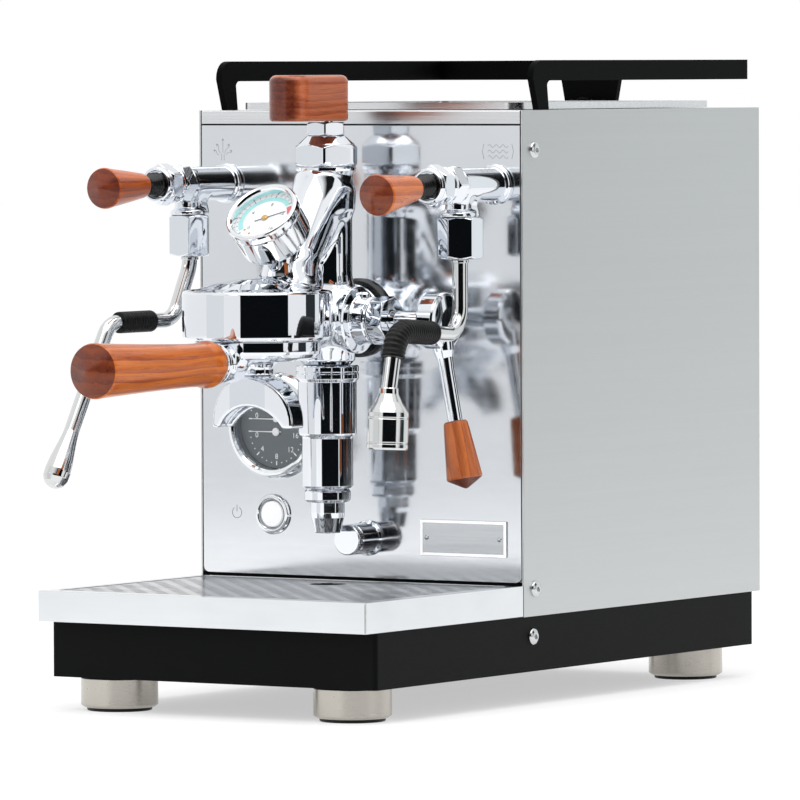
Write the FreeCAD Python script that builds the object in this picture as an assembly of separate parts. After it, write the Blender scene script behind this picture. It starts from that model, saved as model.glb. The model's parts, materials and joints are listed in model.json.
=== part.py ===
import FreeCAD, Part
import os
from math import sin, cos, tan, radians, pi, sqrt, acos
from FreeCAD import Vector as V

# Compact single-boiler espresso machine with a lever group head.
# Units mm. +Z up, front of the machine faces -Y, +X is the operator's right.
# Origin: centre of the footprint on the surface that the feet stand on.

# ---- driving dimensions -------------------------------------------------
W = 228.0            # overall width of the housing
YP = -53.0           # front face of the front panel
YR = 224.0           # rear face of the housing
Z_BASE0 = 20.0       # underside of the base frame
Z_DECK = 52.6        # top of the base frame
Z_TOP = 350.0        # top of the housing
SHEET = 1.2          # sheet steel
BASE_W, BASE_Y0, BASE_Y1 = 225.2, -212.0, 218.2
TRAY_Y0 = -224.5     # front of the drip tray
Z_TRAY = 71.0        # top of the drip tray
FOOT_R, FOOT_X, FOOT_YF, FOOT_YR = 22.6, 81.2, -188.0, 189.2

YB = -162.5          # brew axis
YV = -88.5           # axis of the upper and lower chambers
BELL_R = 44.0
Z_BELL0, Z_BELL1 = 217.3, 243.5
PF_Z = 204.6         # portafilter handle axis
CAM_Y, CAM_Z = -90.0, 227.0
LEV_X = 79.0
LEV_TILT = 10.8      # lever splays outwards from vertical, degrees

VALVE_X, VALVE_Z = 95.0, 306.5
WAND_Y = -92.0
TUBE_R = 4.6
STEAM_YAW, WATER_YAW = 7.5, 4.0   # wands point slightly outwards at rest

GX, GZ, GR = -59.5, 161.7, 31.0   # panel gauge
BX, BZ = -61.8, 108.7             # power button
NX, NZ = 72.5, 97.8               # name plate
SX, SZ = 5.5, 96.3                # drain stub
RAIL_X = 112.0                    # outer face of the cup rail
RAIL_Z1, RAIL_H, RAIL_T = 379.3, 12.0, 4.0
STEAM_DIP, WATER_DIP = 1.5, 4.9    # joysticks hang slightly below level
TANK = (-90.0, 90.0, 112.0, 186.0, 62.0, 330.0)

os.makedirs("parts", exist_ok=True)
OUT = {}


# ---- helpers ------------------------------------------------------------
def box(x0, x1, y0, y1, z0, z1):
    return Part.makeBox(x1 - x0, y1 - y0, z1 - z0, V(x0, y0, z0))


def cyl(r, h, p, d=(0, 0, 1)):
    return Part.makeCylinder(r, h, V(*p), V(*d))


def ball(r, p):
    return Part.makeSphere(r, V(*p))


def frame_place(p, d):
    return FreeCAD.Placement(V(*p), FreeCAD.Rotation(V(0, 0, 1), V(*d)))


def rev(prof, p, d=(0, 0, 1)):
    """Turned part: prof is a closed list of (radius, height) along d from p."""
    pts = [V(r, 0, h) for r, h in prof]
    pts.append(pts[0])
    s = Part.Face(Part.makePolygon(pts)).revolve(V(0, 0, 0), V(0, 0, 1), 360)
    s = Part.Solid(s) if s.ShapeType != "Solid" else s
    if s.Volume < 0:
        s.reverse()
    s.Placement = frame_place(p, d)
    return s


def rod(prof, p, d=(0, 0, 1)):
    """Solid turned part: prof is the outer (radius, height) list."""
    pts = [(0.0, prof[0][1])] + list(prof) + [(0.0, prof[-1][1])]
    out = []
    for q in pts:
        if not out or (abs(q[0] - out[-1][0]) > 1e-9 or abs(q[1] - out[-1][1]) > 1e-9):
            out.append(q)
    return rev(out, p, d)


def arc_pts(cx, cz, r, a0, a1, n):
    return [(cx + r * cos(radians(a0 + (a1 - a0) * i / n)), cz + r * sin(radians(a0 + (a1 - a0) * i / n))) for i in range(n + 1)]


def hexa(af, h, p, d=(0, 0, 1), turn=0.0, chamfer=1.2, both=True):
    r = af / sqrt(3.0)
    pts = [V(r * cos(radians(60 * i + turn)), r * sin(radians(60 * i + turn)), 0) for i in range(7)]
    s = Part.Face(Part.makePolygon(pts)).extrude(V(0, 0, h))
    c = chamfer * 0.6
    prof = [(r - chamfer if both else r, 0), (r, c if both else 0.01), (r, h - c), (r - chamfer, h)]
    s = s.common(rod(prof, (0, 0, 0)))
    s.Placement = frame_place(p, d)
    return s


def fuse(*a):
    s = a[0]
    for b in a[1:]:
        n = s.fuse(b)
        if n.isNull() or not n.Solids or n.Volume < s.Volume * 0.99:
            print("FUSE PROBLEM", s.Volume, b.Volume)
            continue
        s = n
    return s


def clean(s):
    """Merge split faces where that keeps the solid valid."""
    try:
        n = s.removeSplitter()
        if n.isValid() and abs(n.Volume - s.Volume) < 1e-3 * abs(s.Volume) and len(n.Solids) == len(s.Solids):
            return n
    except Exception:
        pass
    return s


def round_plate(x0, x1, y0, y1, z0, z1, r):
    s = box(x0, x1, y0, y1, z0, z1)
    e = [k for k in s.Edges if abs(k.Vertexes[0].X - k.Vertexes[1].X) < 1e-6 and abs(k.Vertexes[0].Y - k.Vertexes[1].Y) < 1e-6]
    return s.makeFillet(r, e)


def fillet_path(pts, radii):
    """Straight runs joined by tangent arcs; radii has one entry per inner point."""
    P = [V(*p) for p in pts]
    edges, cur, length = [], P[0], 0.0
    for i in range(1, len(P) - 1):
        a, b, c = P[i - 1], P[i], P[i + 1]
        u = (a - b).normalize()
        w = (c - b).normalize()
        ang = acos(max(-1, min(1, u.dot(w))))
        t = radii[i - 1] / tan(ang / 2)
        s, e = b + u * t, b + w * t
        bis = (u + w).normalize()
        cen = b + bis * (radii[i - 1] / sin(ang / 2))
        mid = cen - bis * radii[i - 1]
        edges.append(Part.LineSegment(cur, s).toShape())
        edges.append(Part.Arc(s, mid, e).toShape())
        cur = e
    edges.append(Part.LineSegment(cur, P[-1]).toShape())
    return Part.Wire(edges)


def pipe(wire, r):
    e = wire.OrderedEdges[0] if hasattr(wire, "OrderedEdges") else wire.Edges[0]
    p0 = e.valueAt(e.FirstParameter)
    t0 = e.tangentAt(e.FirstParameter)
    prof = Part.Wire([Part.Circle(p0, t0, r).toShape()])
    s = wire.makePipeShell([prof], True, True)
    if s.Volume < 0:
        s.reverse()
    want = pi * r * r * wire.Length
    if abs(s.Volume - want) > 0.01 * want:
        print("PIPE VOLUME", s.Volume, want)
    return s


def save(name, shape):
    OUT[name] = shape


def mirror_x(s):
    return s.mirror(V(0, 0, 0), V(1, 0, 0))


# ---- base frame ---------------------------------------------------------
bw = BASE_W / 2
shell = round_plate(-bw, bw, BASE_Y0, BASE_Y1, Z_BASE0, Z_DECK, 2.5)
inner = box(-bw + 2, bw - 2, BASE_Y0 + 2, BASE_Y1 - 2, Z_BASE0 - 1, Z_DECK - 2)
base = shell.cut(inner)
for sx in (-1, 1):
    for yf in (FOOT_YF, FOOT_YR):
        y0, y1 = (BASE_Y0 + 1, yf + 24) if yf < 0 else (yf - 24, BASE_Y1 - 1)
        x0, x1 = sorted((sx * 58.0, sx * (bw - 1)))
        base = base.fuse(box(x0, x1, y0, y1, Z_BASE0, Z_BASE0 + 2.5))
# vent slots through the deck under the housing
for i in range(7):
    base = base.cut(box(-60 + i * 18, -52 + i * 18, 20, 90, Z_DECK - 3, Z_DECK + 1))
save("base_frame", clean(base))

feet, pads = [], []
for sx in (-1, 1):
    for yf in (FOOT_YF, FOOT_YR):
        feet.append(rod([(FOOT_R - 1.0, 2.0), (FOOT_R, 3.0), (FOOT_R, Z_BASE0 - 0.8), (FOOT_R - 0.8, Z_BASE0)], (sx * FOOT_X, yf, 0)))
        pads.append(cyl(FOOT_R - 3.5, 2.0, (sx * FOOT_X, yf, 0)))
save("feet", Part.makeCompound(feet))
save("foot_pads", Part.makeCompound(pads))

# ---- housing sheets -----------------------------------------------------
half = W / 2


def side_panel(sgn):
    s = box(half - SHEET, half, YP, YR, Z_DECK, Z_TOP)
    s = s.fuse(box(half - 9.5, half - SHEET / 2, YP + 2.2, YP + 3.4, Z_DECK + 20.2, Z_TOP - 9))
    s = s.fuse(box(half - 14, half - SHEET / 2, YR - SHEET - 1.4, YR - SHEET - 0.2, Z_DECK + 2, Z_TOP - 3))
    for z in (68.6, 326.6):
        s = s.cut(cyl(2.1, 6, (half - 3, YP + 12.5, z), (1, 0, 0)))
    return s if sgn > 0 else mirror_x(s)


save("side_panel_right", side_panel(1))
save("side_panel_left", side_panel(-1))

rp = box(-half + SHEET + 0.2, half - SHEET - 0.2, YR - SHEET, YR, Z_DECK + 0.2, Z_TOP - 1.6)
INLET = (-72.0, 92.0)
rp = rp.cut(box(INLET[0] - 14.2, INLET[0] + 14.2, YR - 3, YR + 1, INLET[1] - 10.2, INLET[1] + 10.2))
for r in range(6):
    for sx in (-1, 1):
        rp = rp.cut(box(sx * 45 - 28, sx * 45 + 28, YR - 3, YR + 1, 250 + r * 11, 253.5 + r * 11))
save("rear_panel", rp)

fp = box(-half + SHEET + 0.6, half - SHEET - 0.6, YP, YP + 1.5, 72.6, 341.0)
e = [k for k in fp.Edges if abs(k.Vertexes[0].X - k.Vertexes[1].X) < 1e-6 and abs(k.Vertexes[0].Z - k.Vertexes[1].Z) < 1e-6 and k.Vertexes[0].Z < 80]
fp = fp.makeFillet(4.0, e)
fp = fp.fuse(box(-half + 14, half - 14, YP + 0.1, YP + 10, 72.6, 74.0))
for x, z, r in ((GX, GZ, 26.6), (BX, BZ, 10.1), (SX, SZ, 6.2), (0, CAM_Z, 19.0), (-VALVE_X, VALVE_Z, 8.2), (VALVE_X, VALVE_Z, 8.2)):
    fp = fp.cut(cyl(r, 20, (x, YP - 5, z), (0, 1, 0)))
save("front_panel", clean(fp))

tc = box(-half + SHEET + 0.6, half - SHEET - 0.6, YP, YR - SHEET, Z_TOP - SHEET, Z_TOP)
tc = tc.fuse(box(-half + SHEET + 0.6, half - SHEET - 0.6, YP, YP + SHEET, Z_TOP - 8.0, Z_TOP))
e = [k for k in tc.removeSplitter().Edges if abs(k.Vertexes[0].Y - YP) < 1e-6 and abs(k.Vertexes[-1].Y - YP) < 1e-6 and abs(k.Vertexes[0].Z - Z_TOP) < 1e-6 and abs(k.Vertexes[-1].Z - Z_TOP) < 1e-6]
tc = tc.removeSplitter().makeFillet(1.0, e)
tc = tc.cut(round_plate(TANK[0] - 5, TANK[1] + 5, TANK[2] - 5, TANK[3] + 5, Z_TOP - 3, Z_TOP + 1, 5))
save("top_cover", tc)

# ---- cup tray and rail --------------------------------------------------
ct0 = round_plate(-98, 98, -33, 195, Z_TOP + 0.4, Z_TOP + 4.4, 9)
ct1 = round_plate(-96.8, 96.8, -31.8, 193.8, Z_TOP + 1.6, Z_TOP + 5, 7.8)
ct = ct0.cut(ct1)
for ix in range(9):
    for iy in range(12):
        ct = ct.cut(cyl(2.6, 3, (-72 + ix * 18, -12 + iy * 17, Z_TOP - 0.5)))
save("cup_tray", ct)

zc = RAIL_Z1 - RAIL_H / 2


def rail_side(x0, x1):
    # side plate: 12 mm wide strip in the YZ plane, leg raked forward at the top
    r = 10.0
    top, bot = RAIL_Z1, RAIL_Z1 - RAIL_H
    yf = -37.0
    pts = [V(x0, -20, Z_TOP), V(x0, -31.5, Z_TOP), V(x0, yf - 0.6, top - 11.0)]
    for a in range(0, 91, 15):
        pts.append(V(x0, yf + r - r * cos(radians(a)) - 0.6, top - r + r * sin(radians(a))))
    pts += [V(x0, 216, top), V(x0, 216, bot)]
    for a in range(0, 76, 15):
        pts.append(V(x0, -22.0 + 3.6 * (1 - sin(radians(a))), bot - 3.6 * (1 - cos(radians(a)))))
    pts.append(pts[0])
    return Part.Face(Part.makePolygon(pts)).extrude(V(x1 - x0, 0, 0))


rail = rail_side(RAIL_X - RAIL_T, RAIL_X).fuse(rail_side(-RAIL_X, -RAIL_X + RAIL_T))
rail = rail.fuse(box(-RAIL_X, RAIL_X, 212, 216, RAIL_Z1 - RAIL_H, RAIL_Z1))
zs = RAIL_Z1 - RAIL_H + 1.0
pts = [V(-21, 212, zs), V(21, 212, zs), V(17.5, 212, Z_TOP), V(-17.5, 212, Z_TOP), V(-21, 212, zs)]
rail = rail.fuse(Part.Face(Part.makePolygon(pts)).extrude(V(0, 4, 0)))
rail = rail.fuse(round_plate(-20, 20, 198.5, 216, Z_TOP, Z_TOP + 3.5, 3))
rail = rail.fuse(rod([(4.6, 3.4), (4.6, 5.2), (3.0, 6.4)], (0, 205, Z_TOP)))
rail = rail.removeSplitter()
try:
    e = [k for k in rail.Edges if len(k.Vertexes) == 2 and abs(abs(k.Vertexes[0].X) - RAIL_X) < 1e-6 and abs(abs(k.Vertexes[1].X) - RAIL_X) < 1e-6
         and abs(k.Vertexes[0].Y - 216) < 1e-6 and abs(k.Vertexes[1].Y - 216) < 1e-6 and abs(k.Vertexes[0].Z - k.Vertexes[1].Z) > 5]
    rail = rail.makeFillet(3.5, e)
except Exception:
    pass
save("cup_rail", rail)

# ---- screws -------------------------------------------------------------
scr = []
for sgn in (-1, 1):
    for y, z, x in ((YP + 12.5, 68.6, half), (YP + 12.5, 326.6, half), (-41.0, 40.6, bw)):
        L = 9.0
        prof = [(2.0, -L), (2.0, 0.0), (4.85, 0.0), (4.85, 0.7), (3.6, 2.2)]
        s = rod(prof, (sgn * x, y, z), (sgn, 0, 0))
        s = s.cut(hexa(2.6, 3, (sgn * (x + 1.0), y, z), (sgn, 0, 0), chamfer=0.01, both=False))
        scr.append(s)
save("case_screws", Part.makeCompound(scr))
holes = OUT["base_frame"]
for sgn in (-1, 1):
    holes = holes.cut(cyl(2.1, 6, (sgn * (bw - 4), -41.0, 40.6), (sgn, 0, 0)))
# upright strip that closes the gap under the front panel, its own sheet on the deck
strip = box(-111.5, 111.5, YP + 2.2, YP + 3.4, Z_DECK, 72.2)
save("base_frame", Part.makeCompound([holes, strip]))

# ---- name plate ---------------------------------------------------------
pl = box(NX - 30, NX + 30, YP - 1.0, YP, NZ - 10.7, NZ + 10.7)
e = [k for k in pl.Edges if abs(k.Vertexes[0].X - k.Vertexes[1].X) < 1e-6 and abs(k.Vertexes[0].Z - k.Vertexes[1].Z) < 1e-6]
pl = pl.makeFillet(1.0, e)
pl = pl.cut(box(NX - 28, NX + 28, YP - 2, YP - 0.7, NZ - 8.8, NZ + 8.8))
for sx in (-1, 1):
    pl = pl.fuse(cyl(1.3, 0.9, (NX + sx * 25.5, YP - 1.2, NZ), (0, 1, 0)))
save("nameplate", clean(pl))

# ---- panel gauge --------------------------------------------------------
G = (GX, YP, GZ)
gc = rev([(26.4, -30), (26.4, 0), (GR, 0), (GR, 1.0), (29.8, 3.6), (28.0, 4.8), (26.4, 4.4), (25.6, 2.8), (25.6, -0.6), (25.6, -28.5), (0, -28.5), (0, -30)], G, (0, -1, 0))
gc = gc.fuse(cyl(5, 14, (GX, YP + 30, GZ), (0, 1, 0)))
save("gauge_case", clean(gc))
gd = rod([(25.5, -1.4), (25.5, -0.2)], G, (0, -1, 0))
PIV = (GZ + 3.8, GZ - 3.8)
for z in PIV:
    gd = gd.cut(cyl(0.85, 4, (GX, YP + 3, z), (0, -1, 0)))
save("gauge_dial", gd)
save("gauge_glass", rod([(25.5, 2.9), (25.5, 4.1)], G, (0, -1, 0)))


def needle(z, y_off, name, r_hub):
    p = (GX, YP, z)
    s = rod([(0.8, -1.2), (0.8, y_off), (r_hub, y_off), (r_hub, y_off + 0.7)], p, (0, -1, 0))
    s = s.fuse(box(GX - 18.5, GX + 3.5, YP - y_off - 0.55, YP - y_off - 0.15, z - 0.4, z + 0.4))
    save(name, s.removeSplitter())


needle(PIV[0], 0.4, "needle_upper", 1.9)
needle(PIV[1], 0.4, "needle_lower", 2.4)

# ---- power button -------------------------------------------------------
B = (BX, YP, BZ)
save("switch_bezel", rev([(9.9, -22), (9.9, 0), (12.2, 0), (12.2, 0.9), (11.0, 2.2), (9.4, 2.2), (8.2, 1.5), (8.2, -16), (0, -16), (0, -22)], B, (0, -1, 0)))
save("switch_button", rod([(5.0, -13.0), (5.0, -6.0), (7.8, -6.0), (7.8, 1.6), (7.2, 2.2)], B, (0, -1, 0)))

# ---- group head ---------------------------------------------------------
bell = rev([(BELL_R - 2.6, Z_BELL0), (BELL_R - 1.1, Z_BELL0 + 0.4), (BELL_R - 0.3, Z_BELL0 + 1.4), (BELL_R, Z_BELL0 + 3.0), (BELL_R, Z_BELL1 - 0.5), (BELL_R - 0.5, Z_BELL1 + 0.6), (BELL_R - 1.6, Z_BELL1 + 1.2),
            (34, 247.2), (24, 250.2), (12, 252.5), (0, 253), (0, 236.0), (30.4, 236.0), (30.4, 233.6), (36.6, 233.6), (36.6, Z_BELL0)], (0, YB, 0))
# inclined neck from the upper chamber down to the bell
n0, n1 = V(0, YV - 4.0, 306.0), V(0, -133.0, 246.5)
ax = (n1 - n0)
neck = Part.makeCone(15.6, 13.0, ax.Length, n0, ax)
head = rod([(15.6, 300.0), (15.6, 312.0), (17.6, 314.6), (17.6, 317.0), (12.0, 317.0)], (0, YV, 0))
saddle = rod([(20.0, 245.0), (17.5, 250.6), (14.2, 256.0), (11.0, 262.0)], (0, -131.5, 0))
# horizontal passage from the bell to the housing and the lever chamber
passage = cyl(15.6, 67.5, (0, YP, CAM_Z), (0, -1, 0))
flange = rod([(20.2, 4.0), (20.2, 8.0), (18.4, 12.0), (14.0, 17.0)], (0, YP, CAM_Z), (0, -1, 0))
chamber = rod([(14.0, 200.2), (16.5, 203.0), (17.4, 209.0), (17.4, 238.0), (15.0, 244.6), (9.0, 248.4), (3.0, 249.6)], (0, YV, 0))
column = cyl(15.0, 60.0, (0, YV, 243.0))
cam_tube = rod([(16.6, -13.0), (16.6, 19.0), (19.8, 20.5), (19.8, 23.5), (14.2, 25.5), (13.6, 36.0)], (0, CAM_Y, CAM_Z), (1, 0, 0))
cam_cap = rod([(14.6, 12.0), (14.6, 20.0), (11.0, 23.0)], (0, CAM_Y, CAM_Z), (-1, 0, 0))
rear_tube = cyl(13.0, 30, (0, YP + 22, CAM_Z), (0, -1, 0))
group = fuse(bell, neck, head, saddle, passage, flange, chamber, column, cam_tube, cam_cap, rear_tube)
# keep the bell cavity, the shaft bore and the upper seat open
group = group.cut(rod([(36.6, Z_BELL0 - 1), (36.6, 233.6), (30.4, 233.6), (30.4, 236.0)], (0, YB, 0)))
group = group.cut(cyl(6.06, 60, (4, CAM_Y, CAM_Z), (1, 0, 0)))
group = group.cut(cyl(9.0, 14, (0, YV, 304)))
# small locking screw on top of the lever chamber
group = group.fuse(rod([(3.4, 10.0), (3.4, 15.5), (2.2, 16.5)], (27.0, CAM_Y, CAM_Z), (0, 0, 1)))
group = clean(group)
save("group_body", group)

save("group_collar", rev([(15.7, 0), (23.5, 0), (23.5, 2.0), (22.0, 3.8), (15.7, 3.8)], (0, YP, CAM_Z), (0, -1, 0)))
mount = rev([(13.2, -30), (18.6, -30), (18.6, 0.0), (13.2, 0.0)], (0, YP, CAM_Z), (0, -1, 0))
mount = mount.fuse(rev([(13.2, -10), (32, -10), (32, -2), (13.2, -2)], (0, YP, CAM_Z), (0, -1, 0)))
save("group_mount", clean(mount))

save("mushroom_nut", rev([(9.0, 317.0), (17.2, 317.0), (17.2, 317.0), (19.0, 317.0), (19.0, 317.01), (9.0, 317.01)], (0, YV, 0)) if False else
     hexa(35.0, 13.0, (0, YV, 317.0), turn=0, chamfer=1.4).fuse(rod([(17.4, 330.0), (11.0, 335.3), (10.8, 335.3)], (0, YV, 0))).cut(cyl(5.0, 30, (0, YV, 312))).removeSplitter())
save("flow_gland", hexa(21.5, 8.2, (0, YV, 335.3), turn=10, chamfer=1.0).cut(cyl(4.06, 20, (0, YV, 330))))
save("flow_spindle", rod([(3.0, 309.0), (4.0, 310.0), (4.0, 356.0)], (0, YV, 0)))
kn = round_plate(-13.0, 13.0, YV - 37.0 - 13.0, YV + 13.0, 343.9, 371.0, 12.99)
try:
    e = [k for k in kn.Edges if all(abs(v.Z - 371.0) < 1e-6 for v in k.Vertexes)]
    kn = kn.makeFillet(4.5, e)
    e = [k for k in kn.Edges if all(abs(v.Z - 343.9) < 1e-6 for v in k.Vertexes)]
    kn = kn.makeFillet(2.0, e)
except Exception:
    print("knob fillet skipped")
save("flow_knob", kn.cut(cyl(4.0, 13, (0, YV, 343.0))))

lc = rod([(13.0, 200.2), (18.0, 200.2), (18.8, 199.4), (18.8, 192.2), (17.3, 190.6), (17.3, 159.4), (16.2, 158.0), (15.2, 157.2), (15.2, 128.6), (14.0, 127.6), (13.0, 127.6)][::-1], (0, YV, 0))
save("lower_chamber", lc)
dn = fuse(rod([(12.8, 119.4), (13.8, 120.6), (13.8, 125.6), (12.8, 126.8), (12.0, 127.6)], (0, YV, 0)), rod([(7.2, 101.0), (7.6, 101.0), (9.8, 110.0), (10.2, 119.6)], (0, YV, 0)))
dn = dn.cut(cyl(4.0, 22, (0, YV, 100)))
save("discharge_nozzle", dn)
save("cam_nut", hexa(26.0, 11.0, (36.0, CAM_Y, CAM_Z), (1, 0, 0), turn=15).cut(cyl(6.06, 20, (30, CAM_Y, CAM_Z), (1, 0, 0))))
save("shower_screen", rev([(0, 233.0), (28.5, 233.0), (28.5, 236.0), (27.7, 236.0), (27.7, 233.8), (0, 233.8)], (0, YB, 0)).fuse(cyl(3.2, 3.0, (0, YB, 233.0))).removeSplitter())

# group pressure gauge on a short adaptor, dial tilted up towards the operator
GD = V(0, -1, 1).normalize()
GC = V(0, YP - 104.3, 290.9)          # centre of the dial opening
s0 = GC - GD * 1.0
case = rev([(23.0, 1.0), (23.0, -2.6), (22.0, -4.6), (21.6, -21.0), (19.6, -23.0), (0, -23.0), (0, -21.5), (19.4, -21.5), (19.8, -6.0), (20.2, -3.6), (20.2, 0.2), (21.4, 1.6)], tuple(GC), tuple(GD))
elbow_c = GC - GD * 22.5
stem = cyl(8.0, 10.0, tuple(elbow_c), tuple(GD * -1))
vs = V(0, -139.0, 258.0)
stem2 = rod([(12.8, 248.0), (11.0, 256.0), (9.2, 262.0), (8.8, 270.0), (6.0, 274.5)], (0, -138.5, 0))
gcase = fuse(case, stem, stem2)
gcase = gcase.cut(OUT["group_body"])
save("group_gauge_case", gcase)
save("group_gauge_dial", rod([(20.1, -5.4), (20.1, -4.4)], tuple(GC), tuple(GD)).common(rod([(19.7, -6), (19.7, 0)], tuple(GC), tuple(GD))).cut(cyl(0.85, 4, tuple(GC - GD * 7), tuple(GD))))
save("group_gauge_glass", rod([(20.1, -1.4), (20.1, -0.2)], tuple(GC), tuple(GD)))
# direction of the needle in the dial plane, seen from the front
nd = (V(0, 0.7071, 0.7071) * 0.42 + V(1, 0, 0) * 0.907).normalize()
hub = rod([(0.8, -5.2), (0.8, -4.0), (2.0, -4.0), (2.0, -3.0)], tuple(GC), tuple(GD))
nb = box(-6.5, 13.5, -0.45, 0.45, -3.9, -3.5)
side = GD.cross(nd)
m = FreeCAD.Matrix(nd.x, side.x, GD.x, GC.x, nd.y, side.y, GD.y, GC.y, nd.z, side.z, GD.z, GC.z, 0, 0, 0, 1)
nb = nb.transformGeometry(m) if False else nb.transformed(m)
save("group_needle", hub.fuse(nb).removeSplitter())

# ---- brew lever ---------------------------------------------------------
lt = radians(LEV_TILT)
LD = V(sin(lt), 0, -cos(lt))
LC = V(LEV_X, CAM_Y, CAM_Z)
hubp = rod([(6.0, -LEV_X + 6.0), (6.0, -11.0), (8.0, -11.0), (9.0, -6.5), (15.6, -6.5), (17.0, -5.1), (17.0, 4.6), (15.4, 6.4)], tuple(LC), (1, 0, 0))
# shaft neck between the nut and the hub
arm = rod([(6.6, 12.0), (6.2, 17.8), (4.9, 21.7), (4.4, 60.0)], tuple(LC), tuple(LD))
save("lever_arm", fuse(hubp, arm, cyl(3.0, 10.0, tuple(LC + LD * 59.0), tuple(LD))))
grip = rod([(6.6, 59.7), (7.2, 60.5), (10.5, 91.2), (10.6, 92.6), (10.2, 93.4), (0.8, 98.9), (0.0, 99.3)][:-1], tuple(LC), tuple(LD))
save("lever_grip", grip.cut(cyl(3.0, 10.0, tuple(LC + LD * 59.0), tuple(LD))).cut(cyl(4.45, 1.6, tuple(LC + LD * 58.7), tuple(LD))))

# ---- portafilter --------------------------------------------------------
bowl = rev([(0, 205.4), (28.0, 205.4), (32.0, 206.4), (35.2, 208.6), (36.8, 211.6), (37.0, 214.0), (37.0, 216.8), (34.6, 216.8), (34.6, 231.0), (31.2, 231.0), (31.2, 211.0), (27.0, 208.4), (0, 208.4)], (0, YB, 0))
lugs = box(-42.0, 42.0, YB - 8, YB + 8, 221.0, 225.0).common(cyl(35.9, 10, (0, YB, 219))).cut(cyl(33, 30, (0, YB, 205)))
boss = rod([(11.0, 30.0), (11.0, 38.5), (9.6, 41.0), (10.0, 44.0), (12.4, 47.0), (12.4, 49.2)], (0, YB, PF_Z), (0, -1, 0)).common(box(-40, 40, -300, YB - 31.5, 180, 216.8))
tang = cyl(4.0, 24, (0, YB - 48, PF_Z), (0, -1, 0))
neck_s = rod([(9.2, 196.4), (9.2, 201.0), (11.0, 203.6), (14.0, 205.6)], (0, YB, 0))
pf = fuse(bowl, lugs, boss, tang, neck_s)
pf = pf.cut(cyl(31.2, 23, (0, YB, 211.5)))
pf = pf.cut(cyl(5.0, 16, (0, YB, 195)))
save("portafilter_body", clean(pf))
hy0 = YP - 159.3
hp = [(11.8, 0.0), (13.4, 1.2), (13.8, 4.0), (13.6, 7.0), (12.9, 9.0), (12.6, 11.0), (12.5, 24.0), (12.9, 40.0), (13.7, 66.0), (14.7, 92.0), (15.7, 115.0), (15.95, 117.4), (15.5, 118.6), (1.0, 125.2)]
gp = rod(hp, (0, hy0, PF_Z), (0, -1, 0))
gp = gp.cut(cyl(4.0, 24, (0, YB - 48, PF_Z), (0, -1, 0))).cut(cyl(12.6, 8, (0, hy0 + 7.0, PF_Z), (0, -1, 0)).common(box(-20, 20, hy0 - 0.01 if False else hy0 - 0.2, hy0 + 9, 180, 230)))
save("portafilter_grip", gp)
save("filter_basket", rev([(0, 211.4), (28.0, 211.4), (29.6, 213.0), (30.6, 231.4), (33.8, 231.4), (33.8, 232.3), (29.8, 232.3), (28.9, 213.4), (27.6, 212.2), (0, 212.2)], (0, YB, 0)))

# double spout: half-moon trough, 22 mm deep front to back
SR, SC = 27.6, 168.4
IR, IC = 25.5, 153.1
disc = cyl(SR, 22, (0, YB + 11, SC), (0, -1, 0)).cut(cyl(IR, 24, (0, YB + 12, IC), (0, -1, 0))).cut(box(-40, 40, YB - 20, YB + 20, 130, 166.0))
groove = cyl(IR + 3.2, 16, (0, YB + 8, IC + 0.6), (0, -1, 0)).cut(box(-40, 40, YB - 20, YB + 20, 100, 165.0))
sp = disc.cut(groove.common(cyl(SR - 2.2, 16, (0, YB + 8, SC), (0, -1, 0))))
spn = rod([(12.5, 186.0), (12.0, 192.0), (10.2, 196.2)], (0, YB, 0)).common(box(-20, 20, YB - 10.9, YB + 10.9, 186, 197))
sp = sp.fuse(spn).cut(cyl(4.0, 30, (0, YB, 172)))
save("spout", clean(sp))

# ---- steam and hot-water valves -----------------------------------------
vb, cn, wn = [], [], []
for sgn in (-1, 1):
    X = sgn * VALVE_X
    P = (X, YP, VALVE_Z)
    b = rod([(8.0, -16.0), (8.0, 0.0), (12.0, 0.0), (12.0, 2.4), (10.2, 3.4), (10.2, 44.0), (11.4, 46.0), (11.4, 60.0), (10.6, 61.5)], P, (0, -1, 0))
    b = b.fuse(hexa(21.0, 10.0, (X, YP - 47.0, VALVE_Z), (0, -1, 0), turn=0))
    # outlet: front stub and rear web down to the swivel nut
    b = b.fuse(rod([(9.6, 288.4), (6.8, 290.4), (6.4, 301.0)], (X, WAND_Y - 4.0, 0)).common(box(X - 20, X + 20, WAND_Y - 12, WAND_Y + 20, 288.4, 302)))
    web = [V(X - 5.0, YP - 22, 300), V(X - 5.0, YP - 33, 300), V(X - 5.0, YP - 33, 292), V(X - 5.0, YP - 38, 288.4), V(X - 5.0, YP - 31, 288.4), V(X - 5.0, YP - 24, 291), V(X - 5.0, YP - 22, 300)]
    b = b.fuse(Part.Face(Part.makePolygon(web)).extrude(V(10, 0, 0)))
    b = b.fuse(cyl(9.6, 2.0, (X, WAND_Y, 288.4)))
    b = b.cut(cyl(9.0, 12, (X, YP - 56, VALVE_Z), (0, -1, 0)))
    vb.append(b.removeSplitter())
    cn.append(rev([(8.5, 66.0), (8.5, 75.0), (10.6, 75.0), (12.2, 73.4), (12.2, 63.2), (11.2, 61.5), (9.2, 61.5), (9.2, 66.0)], P, (0, -1, 0)))
    n = hexa(23.5, 24.8, (X, WAND_Y, 263.4), turn=0, chamfer=1.6)
    n = n.cut(cyl(5.0, 40, (X, WAND_Y, 255))).cut(cyl(8.0, 16, (X, WAND_Y, 272)))
    wn.append(n)
save("valve_bodies", Part.makeCompound(vb))
save("valve_cap_nuts", Part.makeCompound(cn))
save("wand_nuts", Part.makeCompound(wn))

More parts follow.
